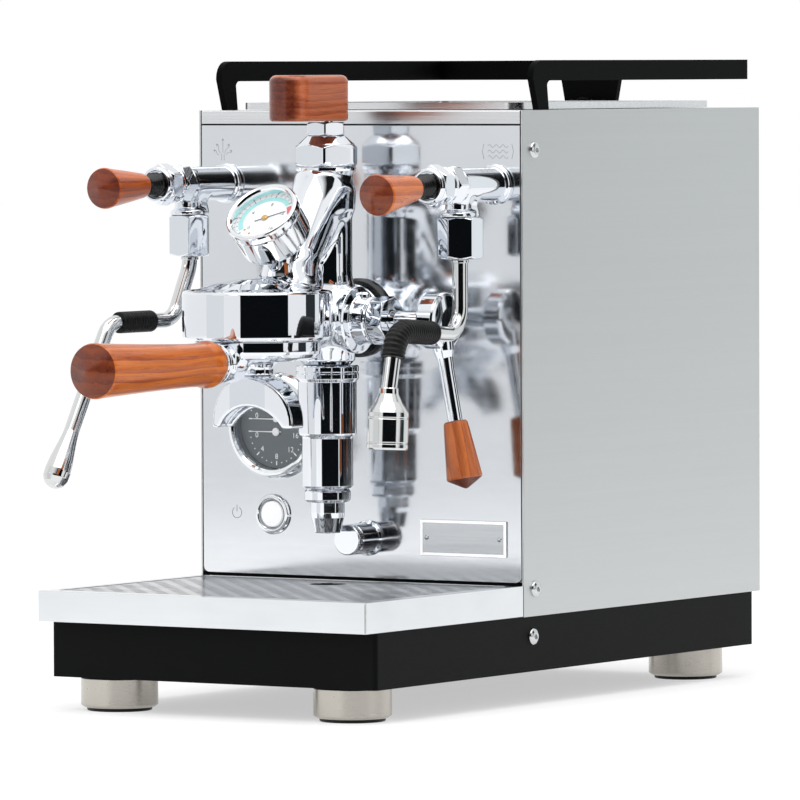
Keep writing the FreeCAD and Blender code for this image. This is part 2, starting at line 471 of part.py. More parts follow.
for sgn, nm, dip in ((-1, "steam", STEAM_DIP), (1, "water", WATER_DIP)):
    C = (sgn * VALVE_X, YP - 76.0, VALVE_Z)
    jd = (0, -cos(radians(dip)), -sin(radians(dip)))
    save(nm + "_joystick", fuse(ball(8.0, C), rod([(5.4, 5.0), (6.6, 9.0), (6.0, 12.0), (4.0, 13.0), (4.0, 22.0)], C, jd)))
    g = rod([(6.8, 13.05), (7.4, 13.8), (9.4, 30.0), (11.8, 50.0), (12.1, 52.0), (11.6, 53.2), (0.8, 57.6)], C, jd)
    save(nm + "_grip", g.cut(cyl(4.0, 22.0, C, jd)))


def wand_pt(sgn, yaw, s, z):
    a = radians(yaw)
    return (sgn * (VALVE_X + s * sin(a)), WAND_Y - s * cos(a), z)


def wand_dir(sgn, yaw, ds, dz):
    a = radians(yaw)
    v = V(sgn * ds * sin(a), -ds * cos(a), dz)
    return tuple(v.normalize())


# steam wand
sp0 = [(0, 284), (0, 258), (15.0, 226.0), (72.0, 225.5), (119.5, 136.0)]
sw = fillet_path([wand_pt(-1, STEAM_YAW, s, z) for s, z in sp0], [25, 14, 13])
tube = pipe(sw, TUBE_R)
tip0 = wand_pt(-1, STEAM_YAW, 105.5, 162.3)
td = wand_dir(-1, STEAM_YAW, 47.5, -89.5)
nozz = rod([(4.6, 0), (5.6, 8), (7.2, 18), (7.9, 25), (7.5, 30), (5.8, 33.5), (3.0, 35.3)], tip0, td)
ferr = rod([(5.9, 257.0), (5.9, 262.8)], (-VALVE_X, WAND_Y, 0))
save("steam_wand", fuse(tube, nozz, ferr))
sl = cyl(6.4, 29.3, wand_pt(-1, STEAM_YAW, 34.7, 225.83), wand_dir(-1, STEAM_YAW, 57, -0.5))
save("steam_sleeve", sl.cut(cyl(TUBE_R, 50.0, wand_pt(-1, STEAM_YAW, 32.0, 225.85), wand_dir(-1, STEAM_YAW, 57, -0.5))))

# hot-water wand
wp0 = [(0, 284), (0, 219.5), (78.0, 224.0), (89.0, 184.0)]
ww = fillet_path([wand_pt(1, WATER_YAW, s, z) for s, z in wp0], [15, 15])
tube = pipe(ww, TUBE_R)
od = wand_dir(1, WATER_YAW, 0.06, -1)
o0 = wand_pt(1, WATER_YAW, 87.4, 191.5)
outl = rod([(5.6, 0), (5.8, 3.0), (11.2, 12.5), (11.9, 14.0), (11.9, 34.5), (11.2, 35.6)], o0, od)
outl = outl.cut(cyl(9.6, 6.0, tuple(V(*o0) + V(*od) * 33.0), od))
ferr = rod([(5.9, 257.0), (5.9, 262.8)], (VALVE_X, WAND_Y, 0))
save("water_wand", fuse(tube, outl, ferr))
q0 = (36.0, 219.5 + 4.5 * 36 / 78.0)
sd = wand_dir(1, WATER_YAW, 78.0, 4.5)
q1 = V(*wand_pt(1, WATER_YAW, 78.0, 224.0))
a0 = V(*wand_pt(1, WATER_YAW, q0[0], q0[1]))
bend_dir = V(*wand_dir(1, WATER_YAW, 11.0, -40.0))
sleeve_path = fillet_path([tuple(a0), tuple(q1), tuple(q1 + bend_dir * 16.0)], [15])
swn = fillet_path([tuple(a0 - V(*sd) * 2), tuple(q1), tuple(q1 + bend_dir * 18.0)], [15])
save("water_sleeve", pipe(sleeve_path, 7.0).cut(pipe(swn, TUBE_R)))

# ---- drain stub ---------------------------------------------------------
save("drain_stub", rod([(6.0, -12.0), (6.0, 0.0), (10.6, 0.0), (10.6, 1.6), (9.2, 2.4), (9.2, 23.2), (8.6, 24.0)], (SX, YP, SZ), (0, -1, 0)))

# ---- drip tray ----------------------------------------------------------
zt0 = Z_DECK + 0.4
tr = box(-half, half, TRAY_Y0, YP - 0.8, zt0, Z_TRAY)
e = [k for k in tr.Edges if abs(k.Vertexes[0].X - k.Vertexes[1].X) < 1e-6 and abs(k.Vertexes[0].Y - k.Vertexes[1].Y) < 1e-6 and k.Vertexes[0].Y < -200]
tr = tr.makeFillet(1.2, e)
tr = tr.cut(box(-half + 1.3, half - 1.3, TRAY_Y0 + 1.3, YP, zt0 - 1, Z_TRAY - 1.3))
tr = tr.cut(round_plate(-106, 106, TRAY_Y0 + 8, YP - 4.8, zt0 - 1, Z_TRAY + 1, 4))
basin = round_plate(-107.2, 107.2, TRAY_Y0 + 6.8, YP - 3.6, zt0 + 0.1, Z_TRAY - 0.4, 5).cut(round_plate(-106, 106, TRAY_Y0 + 8, YP - 4.8, zt0 + 1.3, Z_TRAY + 1, 4))
tr = tr.fuse(basin)
for sx in (-1, 1):
    x0, x1 = sorted((sx * 106.2, sx * 103.0))
    tr = tr.fuse(box(x0, x1, TRAY_Y0 + 20, YP - 20, zt0 + 1.2, Z_TRAY - 1.9))
save("drip_tray", clean(tr))

gr = round_plate(-105.5, 105.5, TRAY_Y0 + 8.5, YP - 5.3, Z_TRAY - 1.5, Z_TRAY - 0.3, 3.6)
slots = []
nx, ny = 14, 17
for iy in range(ny):
    for ix in range(nx):
        x = -97.5 + ix * 15.0 + (0 if iy % 2 == 0 else 7.5)
        if x > 99:
            continue
        y = TRAY_Y0 + 18 + iy * 8.4
        if (x - 0) ** 2 + (y + 88.5) ** 2 < 16 ** 2:
            continue
        slots.append(box(x - 4.2, x + 4.2, y - 1.5, y + 1.5, Z_TRAY - 3, Z_TRAY + 1))
gr = gr.cut(Part.makeCompound(slots))
gr = gr.cut(cyl(11.0, 5, (0, -88.5, Z_TRAY - 4)))
save("drip_grille", gr)

# ---- inside -------------------------------------------------------------
boil = rev([(0, 176.0), (45, 176.0), (45, 180.0), (44, 180), (44, 276.0), (50, 276.0), (50, 286.0), (0, 286.0), (0, 284.0), (40, 284.0), (40, 179.0), (0, 179.0)], (0, 24, 0))
boil = boil.fuse(cyl(6, 22, (0, 24, 286)))
legs = fuse(box(-30, -26, 6, 42, Z_DECK, 176.5), box(26, 30, 6, 42, Z_DECK, 176.5))
save("boiler", boil.fuse(legs).removeSplitter())
pump = fuse(cyl(24, 60, (-62, 40, 84), (0, 1, 0)), cyl(14, 84, (-62, 22, 84), (0, 1, 0)), box(-90, -34, 56, 84, Z_DECK, 66))
save("pump", clean(pump))
save("control_box", round_plate(44, 104, -30, 60, Z_DECK, 150, 3))
t = TANK
tk = round_plate(t[0], t[1], t[2], t[3], t[4], t[5], 12).cut(round_plate(t[0] + 2.5, t[1] - 2.5, t[2] + 2.5, t[3] - 2.5, t[4] + 2.5, t[5] + 5, 9.5))
save("water_tank", tk)
pi1 = pipe(fillet_path([(-62, 22, 84), (-62, 2, 84), (-62, 2, 200), (-46, 14, 230)], [12, 14]), 3.0)
# short elbows from the boiler to the two valves
pl1 = pipe(fillet_path([(-44, 20, 262), (-95, 6, 262), (-95, 6, 306.5), (-95, -36.9, 306.5)], [14, 14]), 3.2)
pl2 = pipe(fillet_path([(44, 20, 262), (95, 6, 262), (95, 6, 306.5), (95, -36.9, 306.5)], [14, 14]), 3.2)
cut_b = OUT["boiler"]
pipes = Part.makeCompound([s.cut(cut_b).cut(OUT["pump"]) for s in (pi1, pl1, pl2)])
save("pipes", pipes)

ix, iz = INLET
inl = box(ix - 13.8, ix + 13.8, YR - 24, YR + 0.2, iz - 9.8, iz + 9.8).fuse(box(ix - 24, ix + 24, YR, YR + 2.4, iz - 12.5, iz + 12.5))
inl = inl.cut(box(ix - 12.2, ix + 12.2, YR - 15.5, YR + 4, iz - 8.2, iz + 8.2))
for dx, dz in ((-7, -2.5), (7, -2.5), (0, 2.0)):
    inl = inl.fuse(box(ix + dx - 1, ix + dx + 1, YR - 16, YR - 7, iz + dz - 2, iz + dz + 2))
save("power_inlet", clean(inl))

# ---- write --------------------------------------------------------------
# the origin is moved to the middle of the whole machine's footprint
CENTRE = V(1.045, 55.55, 0)
for name, s in OUT.items():
    sol = s.Solids
    if len(sol) == 1 and s.ShapeType != "Solid":
        s = sol[0]
    bad = "" if s.isValid() else "  INVALID"
    print("%-20s solids %d vol %.0f%s" % (name, len(sol), s.Volume, bad))
    s = s.translated(CENTRE)
    s.exportStep("parts/" + name + ".step")
print(len(OUT), "nodes")
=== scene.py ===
import bpy
import json
import math
import numpy as np
from mathutils import Euler, Matrix, Vector

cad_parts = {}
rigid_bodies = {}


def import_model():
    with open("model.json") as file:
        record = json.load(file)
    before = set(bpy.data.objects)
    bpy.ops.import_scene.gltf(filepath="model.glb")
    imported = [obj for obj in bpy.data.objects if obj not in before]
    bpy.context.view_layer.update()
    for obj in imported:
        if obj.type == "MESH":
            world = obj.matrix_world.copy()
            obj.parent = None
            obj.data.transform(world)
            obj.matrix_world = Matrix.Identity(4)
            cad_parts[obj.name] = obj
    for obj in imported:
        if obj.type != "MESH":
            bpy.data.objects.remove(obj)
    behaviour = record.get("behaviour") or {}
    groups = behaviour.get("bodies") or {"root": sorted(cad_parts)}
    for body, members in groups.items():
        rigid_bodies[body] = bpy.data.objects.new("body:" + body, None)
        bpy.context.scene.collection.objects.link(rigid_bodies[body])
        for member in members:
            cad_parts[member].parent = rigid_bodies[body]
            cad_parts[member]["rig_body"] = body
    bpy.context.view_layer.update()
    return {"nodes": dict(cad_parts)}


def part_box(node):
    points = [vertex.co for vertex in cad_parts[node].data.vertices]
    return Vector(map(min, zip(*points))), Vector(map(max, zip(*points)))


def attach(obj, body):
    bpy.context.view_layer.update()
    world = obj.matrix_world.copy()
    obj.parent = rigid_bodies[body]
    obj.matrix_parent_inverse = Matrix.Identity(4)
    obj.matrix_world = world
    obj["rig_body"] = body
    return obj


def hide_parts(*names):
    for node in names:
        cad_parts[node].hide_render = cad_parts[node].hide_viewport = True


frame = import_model()
NODES = frame["nodes"]
MM = 0.001
# the pieces below are drawn about the middle of the housing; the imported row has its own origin
_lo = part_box("base_frame")[0]
rng = np.random.default_rng(7)

# --------------------------------------------------------------------------
# dimensions shared with the CAD model, in mm
# --------------------------------------------------------------------------
YP = -53.0
YB, YV = -162.5, -88.5
CAM_Y, CAM_Z = -90.0, 227.0
LEV_X, LEV_TILT = 79.0, 10.8
PF_Z = 204.6
VX, VZ, WY = 95.0, 306.5, -92.0
GX, GZ, GR = -59.5, 161.7, 31.0
BX, BZ = -61.8, 108.7
NX, NZ = 72.5, 97.8
SX, SZ = 5.5, 96.3
Z_TOP = 350.0
OFF = np.array((_lo.x / MM + 112.6, _lo.y / MM + 212.0, 0.0))

# --------------------------------------------------------------------------
# mesh helpers (all input in mm)
# --------------------------------------------------------------------------


def unit(v):
    v = np.asarray(v, float)
    return v / np.linalg.norm(v)


def basis(d):
    d = unit(d)
    a = np.array([0.0, 0.0, 1.0]) if abs(d[2]) < 0.9 else np.array([1.0, 0.0, 0.0])
    u = unit(np.cross(a, d))
    return u, np.cross(d, u), d


def make(name, verts, faces, body, mat, nodes=(), slot=None, angle=40.0, wn=True, smooth=True):
    me = bpy.data.meshes.new(name)
    me.from_pydata([tuple(v) for v in ((np.asarray(verts, float) + OFF) * MM)], [], faces)
    me.validate()
    me.update()
    ob = bpy.data.objects.new(name, me)
    bpy.context.scene.collection.objects.link(ob)
    for m in (mat if isinstance(mat, (list, tuple)) else [mat]):
        me.materials.append(m)
    if smooth:
        me.shade_smooth()
        if angle < 180:
            me.set_sharp_from_angle(angle=math.radians(angle))
        if wn:
            m = ob.modifiers.new("wn", "WEIGHTED_NORMAL")
            m.keep_sharp = True
    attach(ob, body)
    if nodes:
        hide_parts(*([nodes] if isinstance(nodes, str) else nodes))
    return ob


def round_profile(pts, closed, fr=0.5, n=4):
    """Rounds the corners of a (r, h[, radius]) polyline with small arcs."""
    P = [np.array(p[:2], float) for p in pts]
    F = [(p[2] if len(p) > 2 else fr) for p in pts]
    N = len(P)
    out = []
    for i in range(N):
        if not closed and (i == 0 or i == N - 1):
            out.append(P[i])
            continue
        a, b, c = P[i - 1], P[i], P[(i + 1) % N]
        la, lc = np.linalg.norm(a - b), np.linalg.norm(c - b)
        if F[i] <= 0 or la < 1e-6 or lc < 1e-6:
            out.append(b)
            continue
        u, w = (a - b) / la, (c - b) / lc
        ang = math.acos(max(-1.0, min(1.0, float(u @ w))))
        if ang > math.radians(176):
            out.append(b)
            continue
        t = min(F[i] / math.tan(ang / 2), la * 0.45, lc * 0.45)
        r = t * math.tan(ang / 2)
        bis = (u + w) / np.linalg.norm(u + w)
        cen = b + bis * (r / math.sin(ang / 2))
        s, e = b + u * t, b + w * t
        a0 = math.atan2(*(s - cen)[::-1])
        a1 = math.atan2(*(e - cen)[::-1])
        d = (a1 - a0 + math.pi) % (2 * math.pi) - math.pi
        for k in range(n + 1):
            q = a0 + d * k / n
            out.append(cen + r * np.array([math.cos(q), math.sin(q)]))
    return out


def lathe_mesh(prof, p, d, seg=96, closed=False, fr=0.5, n=4, ripple=None):
    pr = round_profile(prof, closed, fr, n)
    u, v, w = basis(d)
    p = np.asarray(p, float)
    verts, rings = [], []
    for r, h in pr:
        if r < 1e-6:
            rings.append([len(verts)])
            verts.append(p + w * h)
        else:
            ids = []
            for i in range(seg):
                t = 2 * math.pi * i / seg
                rr = r if ripple is None else ripple(r, h, t)
                ids.append(len(verts))
                verts.append(p + w * h + u * rr * math.cos(t) + v * rr * math.sin(t))
            rings.append(ids)
    faces = []
    K = len(rings)
    for j in range(K if closed else K - 1):
        A, B = rings[j], rings[(j + 1) % K]
        for i in range(seg):
            k = (i + 1) % seg
            if len(A) == 1 and len(B) == 1:
                break
            if len(A) == 1:
                faces.append((A[0], B[k], B[i]))
            elif len(B) == 1:
                faces.append((A[i], A[k], B[0]))
            else:
                faces.append((A[i], A[k], B[k], B[i]))
    # outward orientation test from the signed volume
    V_ = np.array(verts)
    vol = 0.0
    for f in faces[:: max(1, len(faces) // 4000)]:
        a = V_[f[0]]
        for m in range(1, len(f) - 1):
            vol += float(np.dot(a - p, np.cross(V_[f[m]] - p, V_[f[m + 1]] - p)))
    if vol < 0:
        faces = [tuple(reversed(f)) for f in faces]
    return verts, faces


def solid_prof(prof):
    out = list(prof)
    if out[0][0] > 1e-6:
        out = [(0.0, out[0][1])] + out
    if out[-1][0] > 1e-6:
        out = out + [(0.0, out[-1][1])]
    return out


def lathe(name, prof, p, d, body, mat, nodes=(), slot=None, seg=96, ring=False, fr=0.5, n=4, angle=40.0, ripple=None, wn=True):
    v, f = lathe_mesh(prof if ring else solid_prof(prof), p, d, seg, ring, fr, n, ripple)
    return make(name, v, f, body, mat, nodes, slot, angle, wn)


def join_meshes(parts):
    V_, F_ = [], []
    for v, f in parts:
        o = len(V_)
        V_ += list(v)
        F_ += [tuple(i + o for i in q) for q in f]
    return V_, F_


def path_points(pts, radii, step=0.0, n_arc=14):
    """Rigid bent tube: straight runs with tangent bends, sampled."""
    P = [np.array(q, float) for q in pts]
    out = [P[0]]
    for i in range(1, len(P) - 1):
        a, b, c = P[i - 1], P[i], P[i + 1]
        u, w = unit(a - b), unit(c - b)
        ang = math.acos(max(-1, min(1, float(u @ w))))
        R = radii[i - 1]
        t = R / math.tan(ang / 2)
        s = b + u * t
        bis = unit(u + w)
        cen = b + bis * (R / math.sin(ang / 2))
        x0 = unit(s - cen)
        e = unit((b + w * t) - cen)
        tot = math.acos(max(-1, min(1, float(x0 @ e))))
        y0 = unit(e - x0 * float(x0 @ e))
        for k in range(n_arc + 1):
            q = tot * k / n_arc
            out.append(cen + R * (x0 * math.cos(q) + y0 * math.sin(q)))
    out.append(P[-1])
    return out


def resample(pts, step):
    P = np.array(pts)
    L = np.r_[0, np.cumsum(np.linalg.norm(np.diff(P, axis=0), axis=1))]
    n = max(2, int(round(L[-1] / step)))
    s = np.linspace(0, L[-1], n + 1)
    return np.array([[np.interp(q, L, P[:, k]) for k in range(3)] for q in s]), s


def tube_mesh(pts, rad, seg=40, cap=True, ends=0.6):
    """rad is a number or a function of the distance along the path (mm)."""
    P = np.array(pts, float)
    L = np.r_[0, np.cumsum(np.linalg.norm(np.diff(P, axis=0), axis=1))]
    T = np.gradient(P, axis=0)
    T = T / np.linalg.norm(T, axis=1)[:, None]
    u, v, _ = basis(T[0])
    verts, rings = [], []

    def ring(c, r, uu, vv):
        ids = []
        for i in range(seg):
            t = 2 * math.pi * i / seg
            ids.append(len(verts))
            verts.append(c + uu * r * math.cos(t) + vv * r * math.sin(t))
        rings.append(ids)

    us, vs = [], []
    for i in range(len(P)):
        t = T[i]
        u = unit(u - t * float(u @ t))
        v = np.cross(t, u)
        us.append(u)
        vs.append(v)
    R = [rad(x) if callable(rad) else rad for x in L]
    if cap:
        for q in (0.35, 0.75):
            ring(P[0] + T[0] * ends * (1 - q) * 0.9, R[0] - ends * (1 - math.sin(q * 1.57)), us[0], vs[0])
    for i in range(len(P)):
        if cap and (i == 0 or i == len(P) - 1):
            c = P[i] + T[i] * (ends if i == 0 else -ends)
            ring(c, R[i], us[i], vs[i])
        else:
            ring(P[i], R[i], us[i], vs[i])
    if cap:
        for q in (0.75, 0.35):
            ring(P[-1] - T[-1] * ends * (1 - q) * 0.9, R[-1] - ends * (1 - math.sin(q * 1.57)), us[-1], vs[-1])
    faces = []
    for j in range(len(rings) - 1):
        A, B = rings[j], rings[j + 1]
        for i in range(seg):
            k = (i + 1) % seg
            faces.append((A[i], A[k], B[k], B[i]))
    for ids, flip in ((rings[0], True), (rings[-1], False)):
        c = len(verts)
        verts.append(np.mean([verts[i] for i in ids], axis=0))
        for i in range(seg):
            k = (i + 1) % seg
            faces.append((ids[k], ids[i], c) if flip else (ids[i], ids[k], c))
    return verts, faces


def hex_mesh(af, h, p, d, turn=0.0, bore=0.0, seg=144, cham=0.35, p_c=90.0, face_r=None, both=True, top=None):
    """Hexagon nut: flats with softened corners and turned 30 degree chamfers."""
    u, v, w = basis(d)
    p = np.asarray(p, float)
    rc = af / math.sqrt(3)
    f0 = face_r or (af / 2 * 0.985)
    th = np.linspace(0, 2 * math.pi, seg, endpoint=False)
    base = np.zeros(seg)
    for k in range(6):
        c = np.cos(th - math.radians(turn + 60 * k + 30))
        base += np.maximum(c, 0) ** 70
    R = (af / 2) / base ** (1 / 70.0)
    ch = (rc - f0) * 0.62
    hs = sorted(set([0.0, 0.12, 0.3] + list(np.linspace(0.3, ch * 1.5, 8)) + list(np.linspace(ch * 1.5, h - ch * 1.5, 6)) + list(np.linspace(h - ch * 1.5, h - 0.3, 8)) + [h - 0.3, h - 0.12, h]))
    verts, rings = [], []
    for x in hs:
        lim = f0 + min(x if both else 99, h - x) / 0.62
        edge = min(x if both else 99, h - x)
        rr = (R ** -p_c + lim ** -p_c) ** (-1 / p_c)
        if edge < 0.3:
            rr = rr - 0.25 * (1 - edge / 0.3) ** 2
        ids = []
        for i in range(seg):
            ids.append(len(verts))
            verts.append(p + w * x + rr[i] * (u * math.cos(th[i]) + v * math.sin(th[i])))
        rings.append(ids)
    faces = []
    for j in range(len(rings) - 1):
        for i in range(seg):
            k = (i + 1) % seg
            faces.append((rings[j][i], rings[j][k], rings[j + 1][k], rings[j + 1][i]))

    def annulus(ids, hh, flip):
        if bore <= 0:
            c = len(verts)
            verts.append(p + w * hh)
            for i in range(seg):
                k = (i + 1) % seg
                faces.append((ids[k], ids[i], c) if flip else (ids[i], ids[k], c))
            return None
        prev = ids
        s = 1 if flip else -1
        for rr, dz in ((bore + 0.7, 0), (bore + 0.25, 0.06), (bore, 0.35)):
            cur = []
            for i in range(seg):
                cur.append(len(verts))
                verts.append(p + w * (hh + s * dz) + rr * (u * math.cos(th[i]) + v * math.sin(th[i])))
            for i in range(seg):
                k = (i + 1) % seg
                faces.append((prev[k], prev[i], cur[i], cur[k]) if flip else (prev[i], prev[k], cur[k], cur[i]))
            prev = cur
        return prev

    a = annulus(rings[0], 0.0, True)
    b = annulus(rings[-1], h, False)
    if bore > 0:
        for i in range(seg):
            k = (i + 1) % seg
            faces.append((a[i], b[i], b[k], a[k]))
    return verts, faces


def box_mesh(x0, x1, y0, y1, z0, z1, r=0.5, n=3, rv=None):
    """Box with rounded edges: rv is a larger radius for the vertical edges."""
    rv = max(r, rv or r)
    loops = []
    cs = [(x1 - rv, y1 - rv, 0), (x0 + rv, y1 - rv, 90), (x0 + rv, y0 + rv, 180), (x1 - rv, y0 + rv, 270)]
    nv = max(n, int(rv * 1.2), 4)

    def ring(inset, z):
        L = []
        for cx, cy, a in cs:
            for k in range(nv + 1):
                q = math.radians(a + 90.0 * k / nv)
                L.append((cx + (rv - inset) * math.cos(q), cy + (rv - inset) * math.sin(q), z))
        return L

    for k in range(n + 1):
        q = math.pi / 2 * k / n
        loops.append(ring(r * (1 - math.sin(q)), z0 + r * (1 - math.cos(q))))
    for k in range(n + 1):
        q = math.pi / 2 * (1 - k / n)
        loops.append(ring(r * (1 - math.sin(q)), z1 - r * (1 - math.cos(q))))
    verts, faces = [], []
    M = len(loops[0])
    for L in loops:
        verts += L
    for j in range(len(loops) - 1):
        for i in range(M):
            k = (i + 1) % M
            faces.append((j * M + i, j * M + k, (j + 1) * M + k, (j + 1) * M + i))
    faces.append(tuple(reversed(range(M))))
    faces.append(tuple(range((len(loops) - 1) * M, len(loops) * M)))
    return [np.array(v, float) for v in verts], faces


def xform(vf, origin, ex, ey, ez):
    """Places a mesh built about the origin onto the axes ex, ey, ez."""
    v, f = vf
    o, ex, ey, ez = (np.asarray(q, float) for q in (origin, ex, ey, ez))
    vv = [o + ex * q[0] + ey * q[1] + ez * q[2] for q in v]
    if np.dot(np.cross(ex, ey), ez) < 0:
        f = [tuple(reversed(q)) for q in f]
    return vv, f


# ---- distance fields for cast and blended shapes --------------------------


def sd_cone(P, a, b, ra, rb, rnd=0.0):
    """Capped cone from a to b with rounded ends (vectorised)."""
    a, b = np.asarray(a, float), np.asarray(b, float)
    ba = b - a
    L = np.linalg.norm(ba)
    w = ba / L
    pa = P - a
    y = pa @ w
    x = np.sqrt(np.maximum((pa * pa).sum(-1) - y * y, 0))
    ra2, rb2 = ra - rnd, rb - rnd
    y2 = np.clip(y, rnd, L - rnd)
    # signed distance to the trapezoid (0,rnd)-(ra2,rnd)-(rb2,L-rnd)-(0,L-rnd)
    H = L - 2 * rnd
    yy = y - rnd
    k1x, k1y = rb2, H
    k2x, k2y = rb2 - ra2, H
    cax = x - np.minimum(x, np.where(yy < H / 2, ra2, rb2))
    cay = np.abs(yy - H / 2) - H / 2
    t = np.clip(((k1x - x) * k2x + (k1y - yy) * k2y) / (k2x * k2x + k2y * k2y), 0, 1)
    cbx = x - k1x + k2x * t
    cby = yy - k1y + k2y * t
    s = np.where((cbx < 0) & (cay < 0), -1.0, 1.0)
    return s * np.sqrt(np.minimum(cax * cax + cay * cay, cbx * cbx + cby * cby)) - rnd


def sd_cyl(P, a, b, r, rnd=0.0):
    return sd_cone(P, a, b, r, r, rnd)


def sd_sphere(P, c, r):
    return np.linalg.norm(P - np.asarray(c, float), axis=-1) - r


def sd_box(P, c, h, rnd=0.0):
    q = np.abs(P - np.asarray(c, float)) - (np.asarray(h, float) - rnd)
    return np.linalg.norm(np.maximum(q, 0), axis=-1) + np.minimum(q.max(-1), 0) - rnd


def smin(a, b, k):
    h = np.maximum(k - np.abs(a - b), 0) / k
    return np.minimum(a, b) - h * h * k * 0.25


def smax(a, b, k):
    return -smin(-a, -b, k)


def net(f, lo, hi, h=1.0):
    """Closed quad surface of f = 0, vertices moved exactly onto the surface."""
    lo, hi = np.asarray(lo, float), np.asarray(hi, float)
    n = np.ceil((hi - lo) / h).astype(int) + 1
    ax = [lo[i] + h * np.arange(n[i]) for i in range(3)]
    G = np.stack(np.meshgrid(*ax, indexing="ij"), -1)
    V_ = np.empty(n)
    for i in range(n[0]):
        V_[i] = f(G[i].reshape(-1, 3)).reshape(n[1], n[2])
    V_[[0, -1]] = np.maximum(V_[[0, -1]], 0.1)
    V_[:, [0, -1]] = np.maximum(V_[:, [0, -1]], 0.1)
    V_[:, :, [0, -1]] = np.maximum(V_[:, :, [0, -1]], 0.1)
    ins = V_ < 0
    acc = np.zeros(tuple(n - 1) + (3,))
    cnt = np.zeros(tuple(n - 1))
    edges = []
    for a in range(3):
        s0 = [slice(None)] * 3
        s1 = [slice(None)] * 3
        s0[a] = slice(0, -1)
        s1[a] = slice(1, None)
        A, B = V_[tuple(s0)], V_[tuple(s1)]
        cr = ins[tuple(s0)] != ins[tuple(s1)]
        I = np.argwhere(cr)
        va, vb = A[cr], B[cr]
        t = va / (va - vb)
        pos = lo + I * h
        pos = pos.astype(float)
        pos[:, a] += t * h
        edges.append((I, ins[tuple(s0)][cr]))
        o = [q for q in range(3) if q != a]
        for da in (0, -1):
            for db in (0, -1):
                J = I.copy()
                J[:, o[0]] += da
                J[:, o[1]] += db
                ok = ((J >= 0) & (J < n - 1)).all(1)
                J2 = J[ok]
                np.add.at(acc, (J2[:, 0], J2[:, 1], J2[:, 2]), pos[ok])
                np.add.at(cnt, (J2[:, 0], J2[:, 1], J2[:, 2]), 1)
    act = cnt > 0
    idx = -np.ones(tuple(n - 1), int)
    idx[act] = np.arange(act.sum())
    X = acc[act] / cnt[act][:, None]
    for _ in range(4):
        e = 0.02
        v0 = f(X)
        g = np.stack([(f(X + np.eye(3)[i] * e) - f(X - np.eye(3)[i] * e)) / (2 * e) for i in range(3)], -1)
        m = np.maximum((g * g).sum(-1), 0.05)
        st = (v0 / m)[:, None] * g
        ln = np.linalg.norm(st, axis=1)
        st *= np.minimum(1, 0.5 * h / np.maximum(ln, 1e-9))[:, None]
        X = X - st
    faces = []
    for a in range(3):
        I, pos_in = edges[a]
        b, c = (a + 1) % 3, (a + 2) % 3
        q = []
        for db, dc in ((-1, -1), (0, -1), (0, 0), (-1, 0)):
            J = I.copy()
            J[:, b] += db
            J[:, c] += dc
            q.append(idx[J[:, 0], J[:, 1], J[:, 2]])
        q = np.stack(q, 1)
        q[~pos_in] = q[~pos_in][:, ::-1]
        faces.append(q)
    faces = np.concatenate(faces)
    return list(X), [tuple(int(i) for i in r) for r in faces]

# --------------------------------------------------------------------------
# materials
# --------------------------------------------------------------------------


class NT:
    def __init__(self, name):
        self.m = bpy.data.materials.new(name)
        self.m.use_nodes = True
        self.t = self.m.node_tree
        self.t.nodes.clear()
        self.out = self.add("ShaderNodeOutputMaterial")
        self.b = self.add("ShaderNodeBsdfPrincipled")
        self.link(self.b.outputs[0], self.out.inputs["Surface"])
        self.tc = self.add("ShaderNodeTexCoord")

    def add(self, kind, **kw):
        n = self.t.nodes.new(kind)
        for k, v in kw.items():
            setattr(n, k, v)
        return n

    def link(self, a, b):
        self.t.links.new(a, b)

    def mapping(self, scale=(1, 1, 1), rot=(0, 0, 0), loc=(0, 0, 0)):
        m = self.add("ShaderNodeMapping")
        m.inputs["Scale"].default_value = scale
        m.inputs["Rotation"].default_value = rot
        m.inputs["Location"].default_value = loc
        self.link(self.tc.outputs["Object"], m.inputs["Vector"])
        return m.outputs[0]

    def noise(self, vec, scale, detail=3.0, rough=0.5, dist=0.0):
        n = self.add("ShaderNodeTexNoise")
        self.link(vec, n.inputs["Vector"])
        n.inputs["Scale"].default_value = scale
        n.inputs["Detail"].default_value = detail
        n.inputs["Roughness"].default_value = rough
        n.inputs["Distortion"].default_value = dist
        return n.outputs["Fac"]

    def ramp(self, fac, stops, interp="LINEAR"):
        r = self.add("ShaderNodeValToRGB")
        r.color_ramp.interpolation = interp
        e = r.color_ramp.elements
        while len(e) < len(stops):
            e.new(0.5)
        for k, (p, c) in enumerate(stops):
            e[k].position = p
            e[k].color = c if len(c) == 4 else (*c, 1)
        self.link(fac, r.inputs[0])
        return r.outputs["Color"]

    def remap(self, fac, lo, hi, a=0.0, b=1.0):
        r = self.add("ShaderNodeMapRange")
        r.inputs["From Min"].default_value = a
        r.inputs["From Max"].default_value = b
        r.inputs["To Min"].default_value = lo
        r.inputs["To Max"].default_value = hi
        self.link(fac, r.inputs[0])
        return r.outputs[0]

    def bump(self, h, strength, dist):
        b = self.add("ShaderNodeBump")
        b.inputs["Strength"].default_value = strength
        b.inputs["Distance"].default_value = dist
        self.link(h, b.inputs["Height"])
        return b.outputs[0]

    def set(self, **kw):
        names = {"color": "Base Color", "metal": "Metallic", "rough": "Roughness", "ior": "IOR", "coat": "Coat Weight", "coat_rough": "Coat Roughness",
                 "trans": "Transmission Weight", "spec": "Specular IOR Level", "normal": "Normal", "aniso": "Anisotropic", "emit": "Emission Color", "emit_s": "Emission Strength",
                 "alpha": "Alpha", "sheen": "Sheen Weight", "sss": "Subsurface Weight", "tangent": "Tangent"}
        for k, v in kw.items():
            s = self.b.inputs[names[k]]
            if isinstance(v, bpy.types.NodeSocket):
                self.link(v, s)
            elif k in ("color", "emit"):
                s.default_value = (*v, 1)
            else:
                s.default_value = v
        return self


